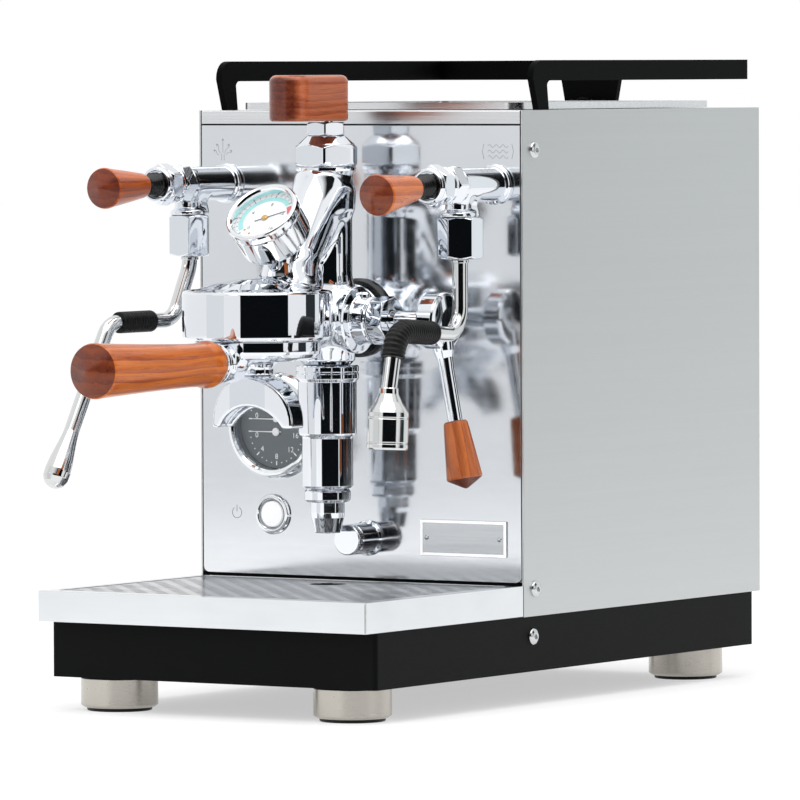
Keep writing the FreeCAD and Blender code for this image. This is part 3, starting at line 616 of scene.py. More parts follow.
def srgb(r, g, b):
    def f(c):
        c /= 255.0
        return c / 12.92 if c <= 0.04045 else ((c + 0.055) / 1.055) ** 2.4
    return (f(r), f(g), f(b))


def metal(name, col, r0, r1, scale=60.0, streak=None, bump=0.0, bump_scale=400.0, aniso=0.0, col2=None, bump_d=0.0001):
    t = NT(name)
    m = t.mapping(streak or (1, 1, 1))
    n = t.noise(m, scale, 4, 0.6)
    t.set(metal=1.0, rough=t.remap(n, r0, r1, 0.3, 0.7))
    if col2:
        n2 = t.noise(t.mapping(), 9.0, 3, 0.6)
        t.set(color=t.ramp(n2, [(0.3, col), (0.7, col2)]))
    else:
        t.set(color=col)
    if bump > 0:
        h = t.noise(t.mapping(streak or (1, 1, 1), loc=(3, 1, 2)), bump_scale, 3, 0.6)
        t.set(normal=t.bump(h, bump, bump_d))
    if aniso:
        t.set(aniso=aniso)
    return t.m


M_CHROME = metal("chrome", srgb(229, 232, 237), 0.015, 0.04, 40, bump=0.012, bump_scale=55.0, col2=srgb(224, 228, 233), bump_d=0.0004)
M_CHROME_B = metal("chrome_bezel", srgb(232, 234, 236), 0.05, 0.10, 60, col2=srgb(222, 225, 228))
M_WAND = metal("polished_tube", srgb(216, 217, 217), 0.05, 0.10, 60, streak=(1, 1, 0.15), bump=0.02, bump_scale=700.0, col2=srgb(206, 207, 207))
M_PANEL = metal("mirror_sheet", srgb(224, 226, 229), 0.085, 0.13, 30, streak=(1, 1, 6), bump=0.012, bump_scale=9.0, col2=srgb(218, 221, 225), bump_d=0.0006)
M_TRAY = metal("tray_sheet", srgb(222, 225, 227), 0.12, 0.20, 35, streak=(0.3, 1, 3), bump=0.02, bump_scale=300.0, col2=srgb(214, 217, 220))
M_GRILLE = metal("grille_sheet", srgb(176, 178, 181), 0.16, 0.26, 60, streak=(0.1, 1, 1), bump=0.05, bump_scale=600.0, col2=srgb(164, 167, 170))
M_NICKEL = metal("satin_nickel", srgb(192, 187, 178), 0.24, 0.28, 120, streak=(1, 1, 8), bump=0.015, bump_scale=900.0, col2=srgb(176, 172, 165))
M_BRASS = metal("brass", srgb(200, 160, 90), 0.2, 0.35, 60, col2=srgb(180, 140, 78))
M_COPPER = metal("copper_tube", srgb(200, 130, 96), 0.2, 0.32, 60, col2=srgb(180, 108, 80))
M_SCREW = metal("screw_steel", srgb(214, 215, 216), 0.14, 0.24, 300, col2=srgb(200, 202, 204))
M_PLATE = metal("plate_steel", srgb(202, 205, 208), 0.18, 0.26, 90, streak=(0.15, 1, 6), bump=0.06, bump_scale=500.0, col2=srgb(194, 197, 200))


def brushed(name, col, col2, axis, r0=0.26, r1=0.36, strength=0.10):
    """Brushed sheet: long fine scratches along one axis, faint cloudy tone."""
    t = NT(name)
    sc = [260.0, 260.0, 260.0]
    sc[axis] = 1.6
    fine = t.noise(t.mapping(tuple(sc)), 4.0, 4, 0.65)
    sc2 = [60.0, 60.0, 60.0]
    sc2[axis] = 0.8
    mid = t.noise(t.mapping(tuple(sc2), loc=(1, 2, 3)), 3.0, 3, 0.6)
    mix = t.add("ShaderNodeMath", operation="ADD")
    t.link(t.remap(fine, 0.0, 0.7), mix.inputs[0])
    t.link(t.remap(mid, 0.0, 0.3), mix.inputs[1])
    t.set(metal=1.0, color=t.ramp(mix.outputs[0], [(0.3, col2), (0.7, col)]), rough=t.remap(fine, r0, r1, 0.3, 0.7), normal=t.bump(fine, strength, 0.00006), aniso=0.55)
    return t.m


M_SIDE = brushed("brushed_side", srgb(210, 212, 212), srgb(205, 207, 207), 1, 0.36, 0.44, 0.05)
M_TOPSHEET = brushed("brushed_top", srgb(226, 227, 228), srgb(214, 215, 217), 0, 0.20, 0.30, 0.06)
M_INNER = brushed("inner_sheet", srgb(190, 192, 194), srgb(176, 178, 180), 1)


def plastic(name, col, r0, r1, bump, bs, col2=None, dist=0.0001, spec=0.5, coat=0.0, vor=False):
    t = NT(name)
    n = t.noise(t.mapping(), bs, 4, 0.65)
    t.set(rough=t.remap(n, r0, r1, 0.3, 0.7), normal=t.bump(n, bump, dist), spec=spec, coat=coat)
    big = t.noise(t.mapping(loc=(4, 4, 1)), 14.0, 3, 0.6)
    t.set(color=t.ramp(big, [(0.3, col), (0.7, col2 or tuple(c * 1.12 for c in col))]))
    return t.m


M_POWDER = plastic("black_powder_coat", srgb(4, 5, 6), 0.42, 0.55, 0.12, 1500.0, srgb(7, 8, 9), spec=0.08)
M_RAIL = plastic("rail_powder_coat", srgb(2, 2, 3), 0.42, 0.55, 0.10, 1500.0, srgb(3, 4, 5), spec=0.04)
M_RUBBER = plastic("moulded_rubber", srgb(7, 8, 9), 0.34, 0.48, 0.16, 900.0, srgb(11, 12, 13), spec=0.22)
M_BLACKPL = plastic("black_plastic", srgb(18, 18, 19), 0.28, 0.4, 0.08, 900.0, srgb(24, 24, 25))
M_COLLAR = plastic("collar_plastic", srgb(6, 7, 8), 0.20, 0.30, 0.05, 900.0, srgb(10, 11, 12), spec=0.4)
M_DIAL = plastic("dial_print", srgb(84, 93, 98), 0.5, 0.62, 0.03, 600.0, srgb(92, 101, 106))
M_WHITE = plastic("white_print", srgb(238, 240, 241), 0.45, 0.55, 0.02, 600.0, srgb(244, 245, 246))
M_DIALW = plastic("dial_white", srgb(236, 240, 242), 0.45, 0.55, 0.02, 600.0, srgb(242, 245, 247))
M_TEAL = plastic("scale_teal", srgb(150, 214, 214), 0.45, 0.55, 0.02, 600.0, srgb(160, 220, 220))
M_RED = plastic("scale_red", srgb(206, 84, 92), 0.45, 0.55, 0.02, 600.0, srgb(214, 92, 98))
M_NEEDLE_B = plastic("needle_black", srgb(16, 16, 17), 0.3, 0.4, 0.02, 600.0)
M_ETCH = metal("etched_mark", srgb(178, 180, 183), 0.42, 0.55, 200, col2=srgb(166, 168, 171))
M_ETCH_D = metal("etched_dark", srgb(120, 122, 125), 0.42, 0.55, 200, col2=srgb(108, 110, 113))
M_LAQ = plastic("plate_lacquer_painted_glow", srgb(250, 250, 250), 0.35, 0.45, 0.02, 500.0, srgb(246, 246, 247))
# painted glow: the white frame line emits light (strength 0.35), though it is no lamp, so it reads brighter
q_ = next(n for n in M_LAQ.node_tree.nodes if n.type == "BSDF_PRINCIPLED")
q_.inputs["Emission Color"].default_value = (1, 1, 1, 1)
q_.inputs["Emission Strength"].default_value = 0.35
# painted shade: the base colour of the tray basin under the grille is multiplied darker, so the grille holes read dark
nt_ = M_TRAY.node_tree
pb_ = next(n for n in nt_.nodes if n.type == "BSDF_PRINCIPLED")
tc_ = next(n for n in nt_.nodes if n.type == "TEX_COORD")
sx_ = nt_.nodes.new("ShaderNodeSeparateXYZ")
nt_.links.new(tc_.outputs["Object"], sx_.inputs[0])


def inside_(sock, centre, halfw):
    n = nt_.nodes.new("ShaderNodeMath")
    n.operation = "COMPARE"
    nt_.links.new(sock, n.inputs[0])
    n.inputs[1].default_value = centre
    n.inputs[2].default_value = halfw
    return n.outputs[0]


fx_ = inside_(sx_.outputs[0], OFF[0] * MM, 0.1030)
fy_ = inside_(sx_.outputs[1], (OFF[1] - 137.5) * MM, 0.0800)
fz_ = inside_(sx_.outputs[2], 0.0600, 0.0088)
m1_ = nt_.nodes.new("ShaderNodeMath")
m1_.operation = "MULTIPLY"
nt_.links.new(fx_, m1_.inputs[0])
nt_.links.new(fy_, m1_.inputs[1])
basin_shade_mask = nt_.nodes.new("ShaderNodeMath")
basin_shade_mask.operation = "MULTIPLY"
nt_.links.new(m1_.outputs[0], basin_shade_mask.inputs[0])
nt_.links.new(fz_, basin_shade_mask.inputs[1])
basin_shade_mix = nt_.nodes.new("ShaderNodeMix")
basin_shade_mix.data_type = "RGBA"
basin_shade_mix.blend_type = "MULTIPLY"
nt_.links.new(basin_shade_mask.outputs[0], basin_shade_mix.inputs[0])
nt_.links.new(pb_.inputs["Base Color"].links[0].from_socket, basin_shade_mix.inputs[6])
# painted shade colour for the inside of the tray basin
basin_shade_mix.inputs[7].default_value = (0.07, 0.07, 0.075, 1)
nt_.links.new(basin_shade_mix.outputs[2], pb_.inputs["Base Color"])
M_TANK = plastic("tank_plastic", srgb(170, 176, 180), 0.15, 0.25, 0.03, 60.0, srgb(178, 184, 188))


def lens():
    t = NT("button_lens_painted_glow")
    n = t.noise(t.mapping(), 300.0, 3, 0.6)
    # painted glow: the lens emits a faint white light (strength 0.28) so it reads brighter
    t.set(color=t.ramp(n, [(0.3, srgb(246, 247, 248)), (0.7, srgb(238, 240, 242))]), rough=t.remap(n, 0.18, 0.26), coat=0.4, coat_rough=0.08, emit=srgb(246, 248, 250), emit_s=0.28)
    return t.m


M_LENS = lens()


def halo():
    t = NT("button_ring")
    n = t.noise(t.mapping(), 300.0, 3, 0.6)
    t.set(color=t.ramp(n, [(0.3, srgb(150, 153, 160)), (0.7, srgb(138, 141, 148))]), rough=t.remap(n, 0.3, 0.4))
    return t.m


M_HALO = halo()


def glass():
    t = NT("gauge_glass_clear")
    n = t.noise(t.mapping(), 40.0, 3, 0.6)
    t.set(color=srgb(252, 253, 253), trans=1.0, ior=1.45, rough=t.remap(n, 0.0, 0.012))
    t.m.use_screen_refraction = True if hasattr(t.m, "use_screen_refraction") else False
    # thin pane: mostly straight-through light with a light gloss
    tr = t.add("ShaderNodeBsdfTransparent")
    gl = t.add("ShaderNodeBsdfGlossy")
    gl.inputs["Roughness"].default_value = 0.02
    lw = t.add("ShaderNodeLayerWeight")
    lw.inputs["Blend"].default_value = 0.5
    pw = t.add("ShaderNodeMath", operation="POWER")
    t.link(lw.outputs["Facing"], pw.inputs[0])
    pw.inputs[1].default_value = 4.0
    fr = t.add("ShaderNodeMath", operation="MULTIPLY_ADD")
    t.link(pw.outputs[0], fr.inputs[0])
    fr.inputs[1].default_value = 0.6
    fr.inputs[2].default_value = 0.03
    mx = t.add("ShaderNodeMixShader")
    t.link(fr.outputs[0], mx.inputs[0])
    t.link(tr.outputs[0], mx.inputs[1])
    t.link(gl.outputs[0], mx.inputs[2])
    t.link(mx.outputs[0], t.out.inputs["Surface"])
    return t.m


M_GLASS = glass()


def wood(name, rot, base, mid, dark, loc=(0, 0, 0), ring=1.0, gloss=(0.26, 0.40)):
    """Oiled hardwood: growth rings, streaks along the grain and open pores.
    rot turns the grain direction onto the local Z axis of the pattern."""
    t = NT(name)
    m = t.mapping((1, 1, 1), rot, loc)
    # slow warp so that the rings wander
    warp = t.add("ShaderNodeTexNoise")
    st = t.add("ShaderNodeMapping")
    st.inputs["Scale"].default_value = (30, 30, 6)
    t.link(m, st.inputs["Vector"])
    t.link(st.outputs[0], warp.inputs["Vector"])
    warp.inputs["Scale"].default_value = 1.0
    warp.inputs["Detail"].default_value = 2.0
    sub = t.add("ShaderNodeVectorMath", operation="SCALE")
    sub.inputs["Scale"].default_value = 0.012
    t.link(warp.outputs["Color"], sub.inputs[0])
    addv = t.add("ShaderNodeVectorMath", operation="ADD")
    t.link(m, addv.inputs[0])
    t.link(sub.outputs[0], addv.inputs[1])
    sc = t.add("ShaderNodeMapping")
    sc.inputs["Scale"].default_value = (1, 1, 0.10)
    t.link(addv.outputs[0], sc.inputs["Vector"])
    wv = t.add("ShaderNodeTexWave", wave_type="RINGS", rings_direction="Z", wave_profile="SAW")
    wv.inputs["Scale"].default_value = 62.0 * ring
    wv.inputs["Distortion"].default_value = 3.2
    wv.inputs["Detail"].default_value = 3.0
    wv.inputs["Detail Scale"].default_value = 1.6
    t.link(sc.outputs[0], wv.inputs["Vector"])

    def stretched(s, z, scale, det, off):
        q = t.add("ShaderNodeMapping")
        q.inputs["Scale"].default_value = (s, s, z)
        q.inputs["Location"].default_value = off
        t.link(addv.outputs[0], q.inputs["Vector"])
        return t.noise(q.outputs[0], scale, det, 0.62)

    streak = stretched(90, 5, 1.0, 4, (1, 2, 3))
    fibre = stretched(520, 14, 1.0, 3, (5, 1, 2))
    pore = stretched(1500, 60, 1.0, 2, (2, 7, 4))
    mixv = t.add("ShaderNodeMath", operation="MULTIPLY_ADD")
    t.link(wv.outputs["Fac"], mixv.inputs[0])
    mixv.inputs[1].default_value = 0.22
    t.link(t.remap(streak, 0.10, 0.50, 0.25, 0.75), mixv.inputs[2])
    mix2 = t.add("ShaderNodeMath", operation="MULTIPLY_ADD")
    t.link(fibre, mix2.inputs[0])
    mix2.inputs[1].default_value = 0.22
    t.link(mixv.outputs[0], mix2.inputs[2])
    col = t.ramp(mix2.outputs[0], [(0.16, dark), (0.40, mid), (0.62, base), (0.95, tuple(min(1, c * 1.22) for c in base))])
    pm = t.add("ShaderNodeMix", data_type="RGBA", blend_type="MULTIPLY")
    pf = t.remap(pore, 1.0, 0.0, 0.30, 0.42)
    t.link(t.remap(pf, 0.0, 0.55), pm.inputs[0])
    t.link(col, pm.inputs[6])
    pm.inputs[7].default_value = (0.36, 0.26, 0.2, 1)
    # painted shade: darker where the surface faces along the grain, standing in for the dark reflections on the grip
    # end cones
    gd = Vector((0, 0, 1))
    gd.rotate(Euler(rot).to_matrix().transposed())
    dn = t.add("ShaderNodeVectorMath", operation="DOT_PRODUCT")
    t.link(t.tc.outputs["Normal"], dn.inputs[0])
    dn.inputs[1].default_value = tuple(gd)
    ab = t.add("ShaderNodeMath", operation="ABSOLUTE")
    t.link(dn.outputs["Value"], ab.inputs[0])
    em = t.add("ShaderNodeMix", data_type="RGBA", blend_type="MULTIPLY")
    t.link(t.remap(ab.outputs[0], 0.0, 1.0, 0.55, 0.8), em.inputs[0])
    t.link(pm.outputs[2], em.inputs[6])
    # painted shade colour multiplied onto the faces along the grain
    em.inputs[7].default_value = (0.30, 0.20, 0.16, 1)
    t.set(color=em.outputs[2], rough=t.remap(fibre, gloss[0], gloss[1], 0.3, 0.7), spec=0.34, coat=0.22, coat_rough=0.08, normal=t.bump(pore, 0.10, 0.00012))
    return t.m


ORANGE, MIDB, DARKB = srgb(200, 106, 26), srgb(160, 72, 16), srgb(84, 33, 8)
RX = (math.pi / 2, 0, 0)
M_WOOD_PF = wood("wood_handle", RX, ORANGE, MIDB, DARKB, (0.004, -0.2, 0.013), 0.8)
M_WOOD_L = wood("wood_left_grip", RX, srgb(192, 92, 18), srgb(152, 64, 12), srgb(78, 29, 6), (0.11, -0.31, 0.02), 1.0)
M_WOOD_R = wood("wood_right_grip", RX, srgb(204, 110, 32), srgb(168, 76, 20), srgb(90, 36, 10), (-0.07, -0.33, 0.01), 1.0)
M_WOOD_K = wood("wood_knob", RX, srgb(176, 92, 52), srgb(140, 64, 34), srgb(78, 32, 18), (0.005, -0.35, 0.02), 1.1, (0.22, 0.34))
M_WOOD_LEV = wood("wood_lever_grip", (0, math.radians(LEV_TILT), 0), srgb(184, 100, 48), srgb(152, 76, 32), srgb(90, 40, 18), (-0.077, 0.1, 0.0), 1.0)

# --------------------------------------------------------------------------
# carried-over sheet-metal shapes with softened edges
# --------------------------------------------------------------------------


def dress(node, mat, width=0.3, seg=2, name=None, angle=28.0, body=None):
    """A CAD node's own shape with small edge rounds, as a new piece."""
    import bmesh
    src = NODES[node]
    bm = bmesh.new()
    bm.from_mesh(src.data)
    bmesh.ops.remove_doubles(bm, verts=bm.verts, dist=2e-6)
    bmesh.ops.dissolve_limit(bm, angle_limit=math.radians(0.6), verts=bm.verts, edges=bm.edges, delimit={"NORMAL"})
    me = bpy.data.meshes.new(name or node + "_skin")
    bm.to_mesh(me)
    bm.free()
    ob = bpy.data.objects.new(name or node + "_skin", me)
    bpy.context.scene.collection.objects.link(ob)
    me.materials.append(mat)
    me.shade_smooth()
    b = ob.modifiers.new("edge", "BEVEL")
    b.width = width * MM
    b.segments = seg
    b.limit_method = "ANGLE"
    b.angle_limit = math.radians(angle)
    b.use_clamp_overlap = True
    b.harden_normals = False
    b.miter_outer = "MITER_ARC"
    w = ob.modifiers.new("wn", "WEIGHTED_NORMAL")
    w.keep_sharp = False
    w.weight = 80
    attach(ob, body or src["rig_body"])
    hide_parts(node)
    return ob


def keep(node, mat):
    ob = NODES[node]
    ob.data.materials.clear()
    ob.data.materials.append(mat)


def ribbon(pts, width, y, th=0.05, closed=False):
    """Flat etched line in the XZ plane at the front panel."""
    P = [np.array(q, float) for q in pts]
    n = len(P)
    L = []
    for i in range(n):
        a = P[i - 1] if (i > 0 or closed) else P[i]
        c = P[(i + 1) % n] if (i < n - 1 or closed) else P[i]
        t = unit(c - a)
        nn = np.array([-t[1], t[0]])
        L.append((P[i] + nn * width / 2, P[i] - nn * width / 2))
    verts, faces = [], []
    for a, b in L:
        verts += [(a[0], y - th, a[1]), (b[0], y - th, b[1]), (b[0], y, b[1]), (a[0], y, a[1])]
    m = n if closed else n - 1
    for i in range(m):
        o, q = 4 * i, 4 * ((i + 1) % n)
        for k in range(4):
            kk = (k + 1) % 4
            faces.append((o + k, q + k, q + kk, o + kk))
    if not closed:
        faces.append((0, 1, 2, 3))
        o = 4 * (n - 1)
        faces.append((o + 3, o + 2, o + 1, o))
    return [np.array(v, float) for v in verts], faces


def arc2(cx, cz, r, a0, a1, n=24):
    return [(cx + r * math.cos(math.radians(a0 + (a1 - a0) * k / n)), cz + r * math.sin(math.radians(a0 + (a1 - a0) * k / n))) for k in range(n + 1)]


def disc_pts(cx, cz, r, y, th=0.05, n=20):
    v = [np.array((cx + r * math.cos(2 * math.pi * k / n), y - th, cz + r * math.sin(2 * math.pi * k / n))) for k in range(n)]
    v += [np.array((q[0], y, q[2])) for q in v]
    f = [tuple(range(n)), tuple(reversed(range(n, 2 * n)))]
    f += [(k, k + n, (k + 1) % n + n, (k + 1) % n) for k in range(n)]
    f = [tuple(reversed(q)) for q in f]
    return v, f


def text_mesh(s, size, th=0.05):
    """Plain numeral as a thin solid; x to the right, z up, about its centre."""
    cu = bpy.data.curves.new("t_" + s, "FONT")
    cu.body = s
    cu.size = size
    cu.align_x = "CENTER"
    cu.align_y = "CENTER"
    cu.extrude = th / 2
    cu.resolution_u = 3
    ob = bpy.data.objects.new("t_" + s, cu)
    bpy.context.scene.collection.objects.link(ob)
    me = bpy.data.meshes.new_from_object(ob)
    v = [np.array((q.co.x, -q.co.z, q.co.y)) for q in me.vertices]
    f = [tuple(p.vertices) for p in me.polygons]
    bpy.data.objects.remove(ob)
    bpy.data.curves.remove(cu)
    bpy.data.meshes.remove(me)
    xs = [q[0] for q in v]
    zs = [q[2] for q in v]
    c = np.array(((min(xs) + max(xs)) / 2, 0, (min(zs) + max(zs)) / 2))
    return [q - c for q in v], f


def at(vf, dx, dy, dz):
    return [np.asarray(q, float) + np.array((dx, dy, dz)) for q in vf[0]], vf[1]


M = "machine"
# housing
dress("base_frame", M_POWDER, 0.7, 3)
dress("side_panel_right", M_SIDE, 0.22, 2)
dress("side_panel_left", M_SIDE, 0.22, 2)
dress("rear_panel", M_INNER, 0.2, 2)
dress("front_panel", M_PANEL, 0.25, 2)
dress("top_cover", M_TOPSHEET, 0.25, 2)
dress("cup_tray", M_TOPSHEET, 0.3, 2)
dress("cup_rail", M_RAIL, 0.9, 3)
dress("drip_tray", M_TRAY, 0.35, 3)
dress("drip_grille", M_GRILLE, 0.15, 2)
dress("power_inlet", M_BLACKPL, 0.4, 2)
dress("control_box", M_BLACKPL, 1.0, 3)
dress("water_tank", M_TANK, 0.6, 2)
for nd, mt in (("boiler", M_BRASS), ("pump", M_BLACKPL), ("group_mount", M_BRASS), ("pipes", M_COPPER), ("shower_screen", M_WAND), ("filter_basket", M_WAND)):
    keep(nd, mt)

FEET = [(sx * 81.2, y, 0) for sx in (-1, 1) for y in (-188.0, 189.2)]
v, f = join_meshes([lathe_mesh([(0, 2.0), (20.6, 2.0, 0.3), (22.6, 3.4, 0.8), (22.6, 19.0, 0.5), (21.8, 20.0, 0.2), (0, 20.0)], p, (0, 0, 1), 96) for p in FEET])
make("feet_turned", v, f, M, M_NICKEL, "feet")
v, f = join_meshes([lathe_mesh([(0, 0), (18.6, 0, 0.4), (19.1, 0.6, 0.4), (19.1, 2.0, 0.2), (0, 2.0)], p, (0, 0, 1), 64) for p in FEET])
make("foot_pads_moulded", v, f, M, M_RUBBER, "foot_pads")


def hexrip(lim):
    def g(r, h, t):
        if r > lim:
            return r
        a = (math.degrees(t) % 60) - 30
        return r * math.cos(math.radians(30)) / math.cos(math.radians(a))
    return g


SCR = [(0, 0.0), (4.9, 0.0, 0.1), (4.9, 0.85, 0.35), (4.35, 1.5, 0.6), (3.1, 2.1, 0.6), (1.95, 2.28, 0.12), (1.6, 2.15, 0.08), (1.55, 0.9, 0.05), (0, 0.8)]
parts = []
for sg in (-1, 1):
    for y, z, x in ((YP + 12.5, 68.6, 114.0), (YP + 12.5, 326.6, 114.0), (-41.0, 40.6, 112.6)):
        parts.append(lathe_mesh(SCR, (sg * x, y, z), (sg, 0, 0), 72, ripple=hexrip(1.8)))
v, f = join_meshes(parts)
make("case_screw_heads", v, f, M, M_SCREW, "case_screws")

# etched marks on the panel: power, steam and water symbols
W_ = 0.32
ic = [ribbon(arc2(-88.0, 109.0, 3.3, 120, 420, 30), W_, YP), ribbon([(-88.0, 109.6), (-88.0, 113.6)], W_, YP)]
ic_s = []
cx, cz = -97.0, 326.5
for a, L in ((90, 11.5), (62, 9.5), (118, 9.5), (36, 8.0), (144, 8.0)):
    q = math.radians(a)
    n = 9
    pl = []
    for k in range(n + 1):
        s = 3.2 + (L - 3.2) * k / n
        wob = 0.5 * math.sin(k / n * math.pi * 2) * (0 if a == 90 else 1)
        pl.append((cx + s * math.cos(q) - wob * math.sin(q), cz - 5 + s * math.sin(q) + wob * math.cos(q)))
    ic_s.append(ribbon(pl, W_, YP))
    e = pl[-1]
    for da in (150, -150):
        ic_s.append(ribbon([e, (e[0] + 1.7 * math.cos(q + math.radians(da)), e[1] + 1.7 * math.sin(q + math.radians(da)))], W_, YP))
for sx in (-1, 1):
    ic_s.append(ribbon([(cx + sx * 0.9, cz - 6.5), (cx + sx * 0.9, cz - 2.6)], W_, YP))
ic_w = []
cx, cz = 97.0, 325.8
for k in range(3):
    pl = [(cx - 7 + 14 * j / 24, cz + 3.2 * (k - 1) + 0.9 * math.sin(j / 24 * 6 * math.pi)) for j in range(25)]
    ic_w.append(ribbon(pl, W_, YP))
for sx in (-1, 1):
    ic_w.append(ribbon([(cx + sx * 9.6, cz + 4.5), (cx + sx * 10.8, cz), (cx + sx * 9.6, cz - 4.5)], W_, YP))
v, f = join_meshes(ic)
make("power_symbol", v, f, M, M_ETCH_D, (), "polished_steel", smooth=False)
v, f = join_meshes(ic_s)
make("steam_symbol", v, f, M, M_ETCH, (), "polished_steel", smooth=False)
v, f = join_meshes(ic_w)
make("water_symbol", v, f, M, M_ETCH, (), "polished_steel", smooth=False)

# blank name plate: plain sheet, white frame line, two rivets
v, f = box_mesh(-30, 30, -10.7, 10.7, 0, 1.0, 0.18, 2, rv=0.8)
v, f = xform((v, f), (NX, YP, NZ), (1, 0, 0), (0, 0, 1), (0, -1, 0))
make("nameplate_sheet", v, f, M, M_PLATE, "nameplate")
fr = [(NX - 29, NZ - 9.7), (NX + 29, NZ - 9.7), (NX + 29, NZ + 9.7), (NX - 29, NZ + 9.7)]
o_, i_ = 0.8, -0.8
vv, ff = [], []
for y in (YP - 1.0, YP - 1.07):
    for off in (o_, i_):
        for (x, z), (sx, sz) in zip(fr, ((-1, -1), (1, -1), (1, 1), (-1, 1))):
            vv.append(np.array((x + sx * off, y, z + sz * off)))
for k in range(4):
    q = (k + 1) % 4
    ff += [(8 + k, 8 + q, 12 + q, 12 + k), (k, q, 8 + q, 8 + k), (4 + q, 4 + k, 12 + k, 12 + q), (0 + q, k, 4 + k, 4 + q)]
make("nameplate_frame_line", vv, ff, M, M_LAQ, (), "needle_white", smooth=False)
v, f = join_meshes([lathe_mesh([(0, 0.9), (1.5, 0.9, 0.05), (1.45, 1.25, 0.25), (0.5, 1.55, 0.3), (0, 1.6)], (NX + sx * 25.3, YP, NZ), (0, -1, 0), 40) for sx in (-1, 1)])
make("nameplate_rivets", v, f, M, M_SCREW, (), "polished_steel")

# --------------------------------------------------------------------------
# panel gauge
# --------------------------------------------------------------------------
G = (GX, YP, GZ)
lathe("gauge_bezel", [(26.3, -30), (26.3, -0.2), (31.5, -0.2, 0.2), (31.9, 1.6, 0.8), (31.4, 4.6, 1.4), (29.9, 6.8, 1.4), (27.9, 7.3, 0.8), (26.4, 6.2, 0.6), (25.7, 4.4, 0.2), (25.6, -28.5), (0.01, -28.5), (0.01, -30)],
      G, (0, -1, 0), M, M_CHROME_B, "gauge_case", ring=True, seg=144)
lathe("gauge_glass_pane", [(0, 2.9), (25.5, 2.9, 0.1), (25.5, 4.0, 0.2), (0, 4.1)], G, (0, -1, 0), M, M_GLASS, "gauge_glass", seg=96)
lathe("gauge_dial_face", [(0, -1.4), (25.5, -1.4, 0.1), (25.5, -0.2, 0.1), (0, -0.2)], G, (0, -1, 0), M, M_DIAL, "gauge_dial", seg=96)
DY = YP + 0.2
parts = []


def tick(px, pz, a, r0, r1, w):
    q = math.radians(a)
    return ribbon([(px + r0 * math.cos(q), pz + r0 * math.sin(q)), (px + r1 * math.cos(q), pz + r1 * math.sin(q))], w, DY)


UP, LO = GZ + 3.8, GZ - 3.8
for k in range(13):
    a = 180 - 15 * k
    if k % 4 == 0:
        parts.append(tick(GX, UP, a, 17.4, 19.8, 0.75))
    elif k % 2 == 0:
        parts.append(tick(GX, UP, a, 17.9, 19.3, 0.4))
    else:
        parts.append(disc_pts(GX + 18.6 * math.cos(math.radians(a)), UP + 18.6 * math.sin(math.radians(a)), 0.38, DY))
for k in range(17):
    a = 180 + 11.25 * k
    if k % 4 == 0:
        parts.append(tick(GX, LO, a, 17.4, 20.0, 0.75))
    else:
        parts.append(disc_pts(GX + 18.7 * math.cos(math.radians(a)), LO + 18.7 * math.sin(math.radians(a)), 0.38, DY))
for s, a, pz, r in (("0", 172, UP, 14.2), ("1", 120, UP, 14.0), ("2", 60, UP, 14.0), ("3", 8, UP, 14.2), ("0", 188, LO, 14.2), ("4", 225, LO, 14.4), ("8", 270, LO, 14.6), ("12", 315, LO, 14.7), ("16", 352, LO, 14.0)):
    q = math.radians(a)
    parts.append(at(text_mesh(s, 4.6), GX + r * math.cos(q), DY - 0.025, pz + r * math.sin(q)))
v, f = join_meshes(parts)
make("gauge_dial_print", v, f, M, M_WHITE, (), "dial_dark", smooth=False)


def needle_obj(name, node, body, c, ex, ez, out, L0, L1, w, hub, z0, mat, hubmat=None, hubh=0.8):
    """Tapered pointer along ex from c; out is the direction off the dial."""
    c, ex, ez, out = (np.asarray(q, float) for q in (c, ex, ez, out))
    prof = [(-L0, w * 0.9), (-L0 * 0.4, w * 0.8), (0, w), (L1 * 0.5, w * 0.72), (L1 - 1.0, w * 0.45), (L1, 0.05)]
    vv, ff = [], []
    for x, hw in prof:
        for s, hh in ((-1, 0), (-0.55, 0.22), (0.55, 0.22), (1, 0)):
            vv.append(c + ex * x + ez * s * hw / 2 * (1 if hh == 0 else 1) + out * (z0 + hh))
    m = len(prof)
    for i in range(m - 1):
        o, q = 4 * i, 4 * (i + 1)
        for k in range(3):
            ff.append((o + k, q + k, q + k + 1, o + k + 1))
        ff.append((o + 3, q + 3, q, o))
    ff.append((0, 1, 2, 3))
    o = 4 * (m - 1)
    ff.append((o + 3, o + 2, o + 1, o))
    h = lathe_mesh([(0, z0 - 0.05), (hub, z0 - 0.05, 0.05), (hub, z0 + hubh * 0.7, 0.15), (hub * 0.7, z0 + hubh, 0.2), (0, z0 + hubh)], c, out, 48)
    if hubmat is None:
        v, f = join_meshes([(vv, ff), h])
        return make(name, v, f, body, mat, node, angle=35)
    a = make(name, vv, ff, body, mat, node, angle=35)
    make(name + "_hub", h[0], h[1], body, hubmat, (), "brass")
    return a


needle_obj("needle_upper_blade", "needle_upper", "panel_needle_upper", (GX, YP, UP), (-1, 0, 0), (0, 0, 1), (0, -1, 0), 3.5, 18.5, 0.85, 1.9, 0.35, M_WHITE)
needle_obj("needle_lower_blade", "needle_lower", "panel_needle_lower", (GX, YP, LO), (-1, 0, 0), (0, 0, 1), (0, -1, 0), 3.5, 18.5, 0.85, 2.5, 0.35, M_WHITE)

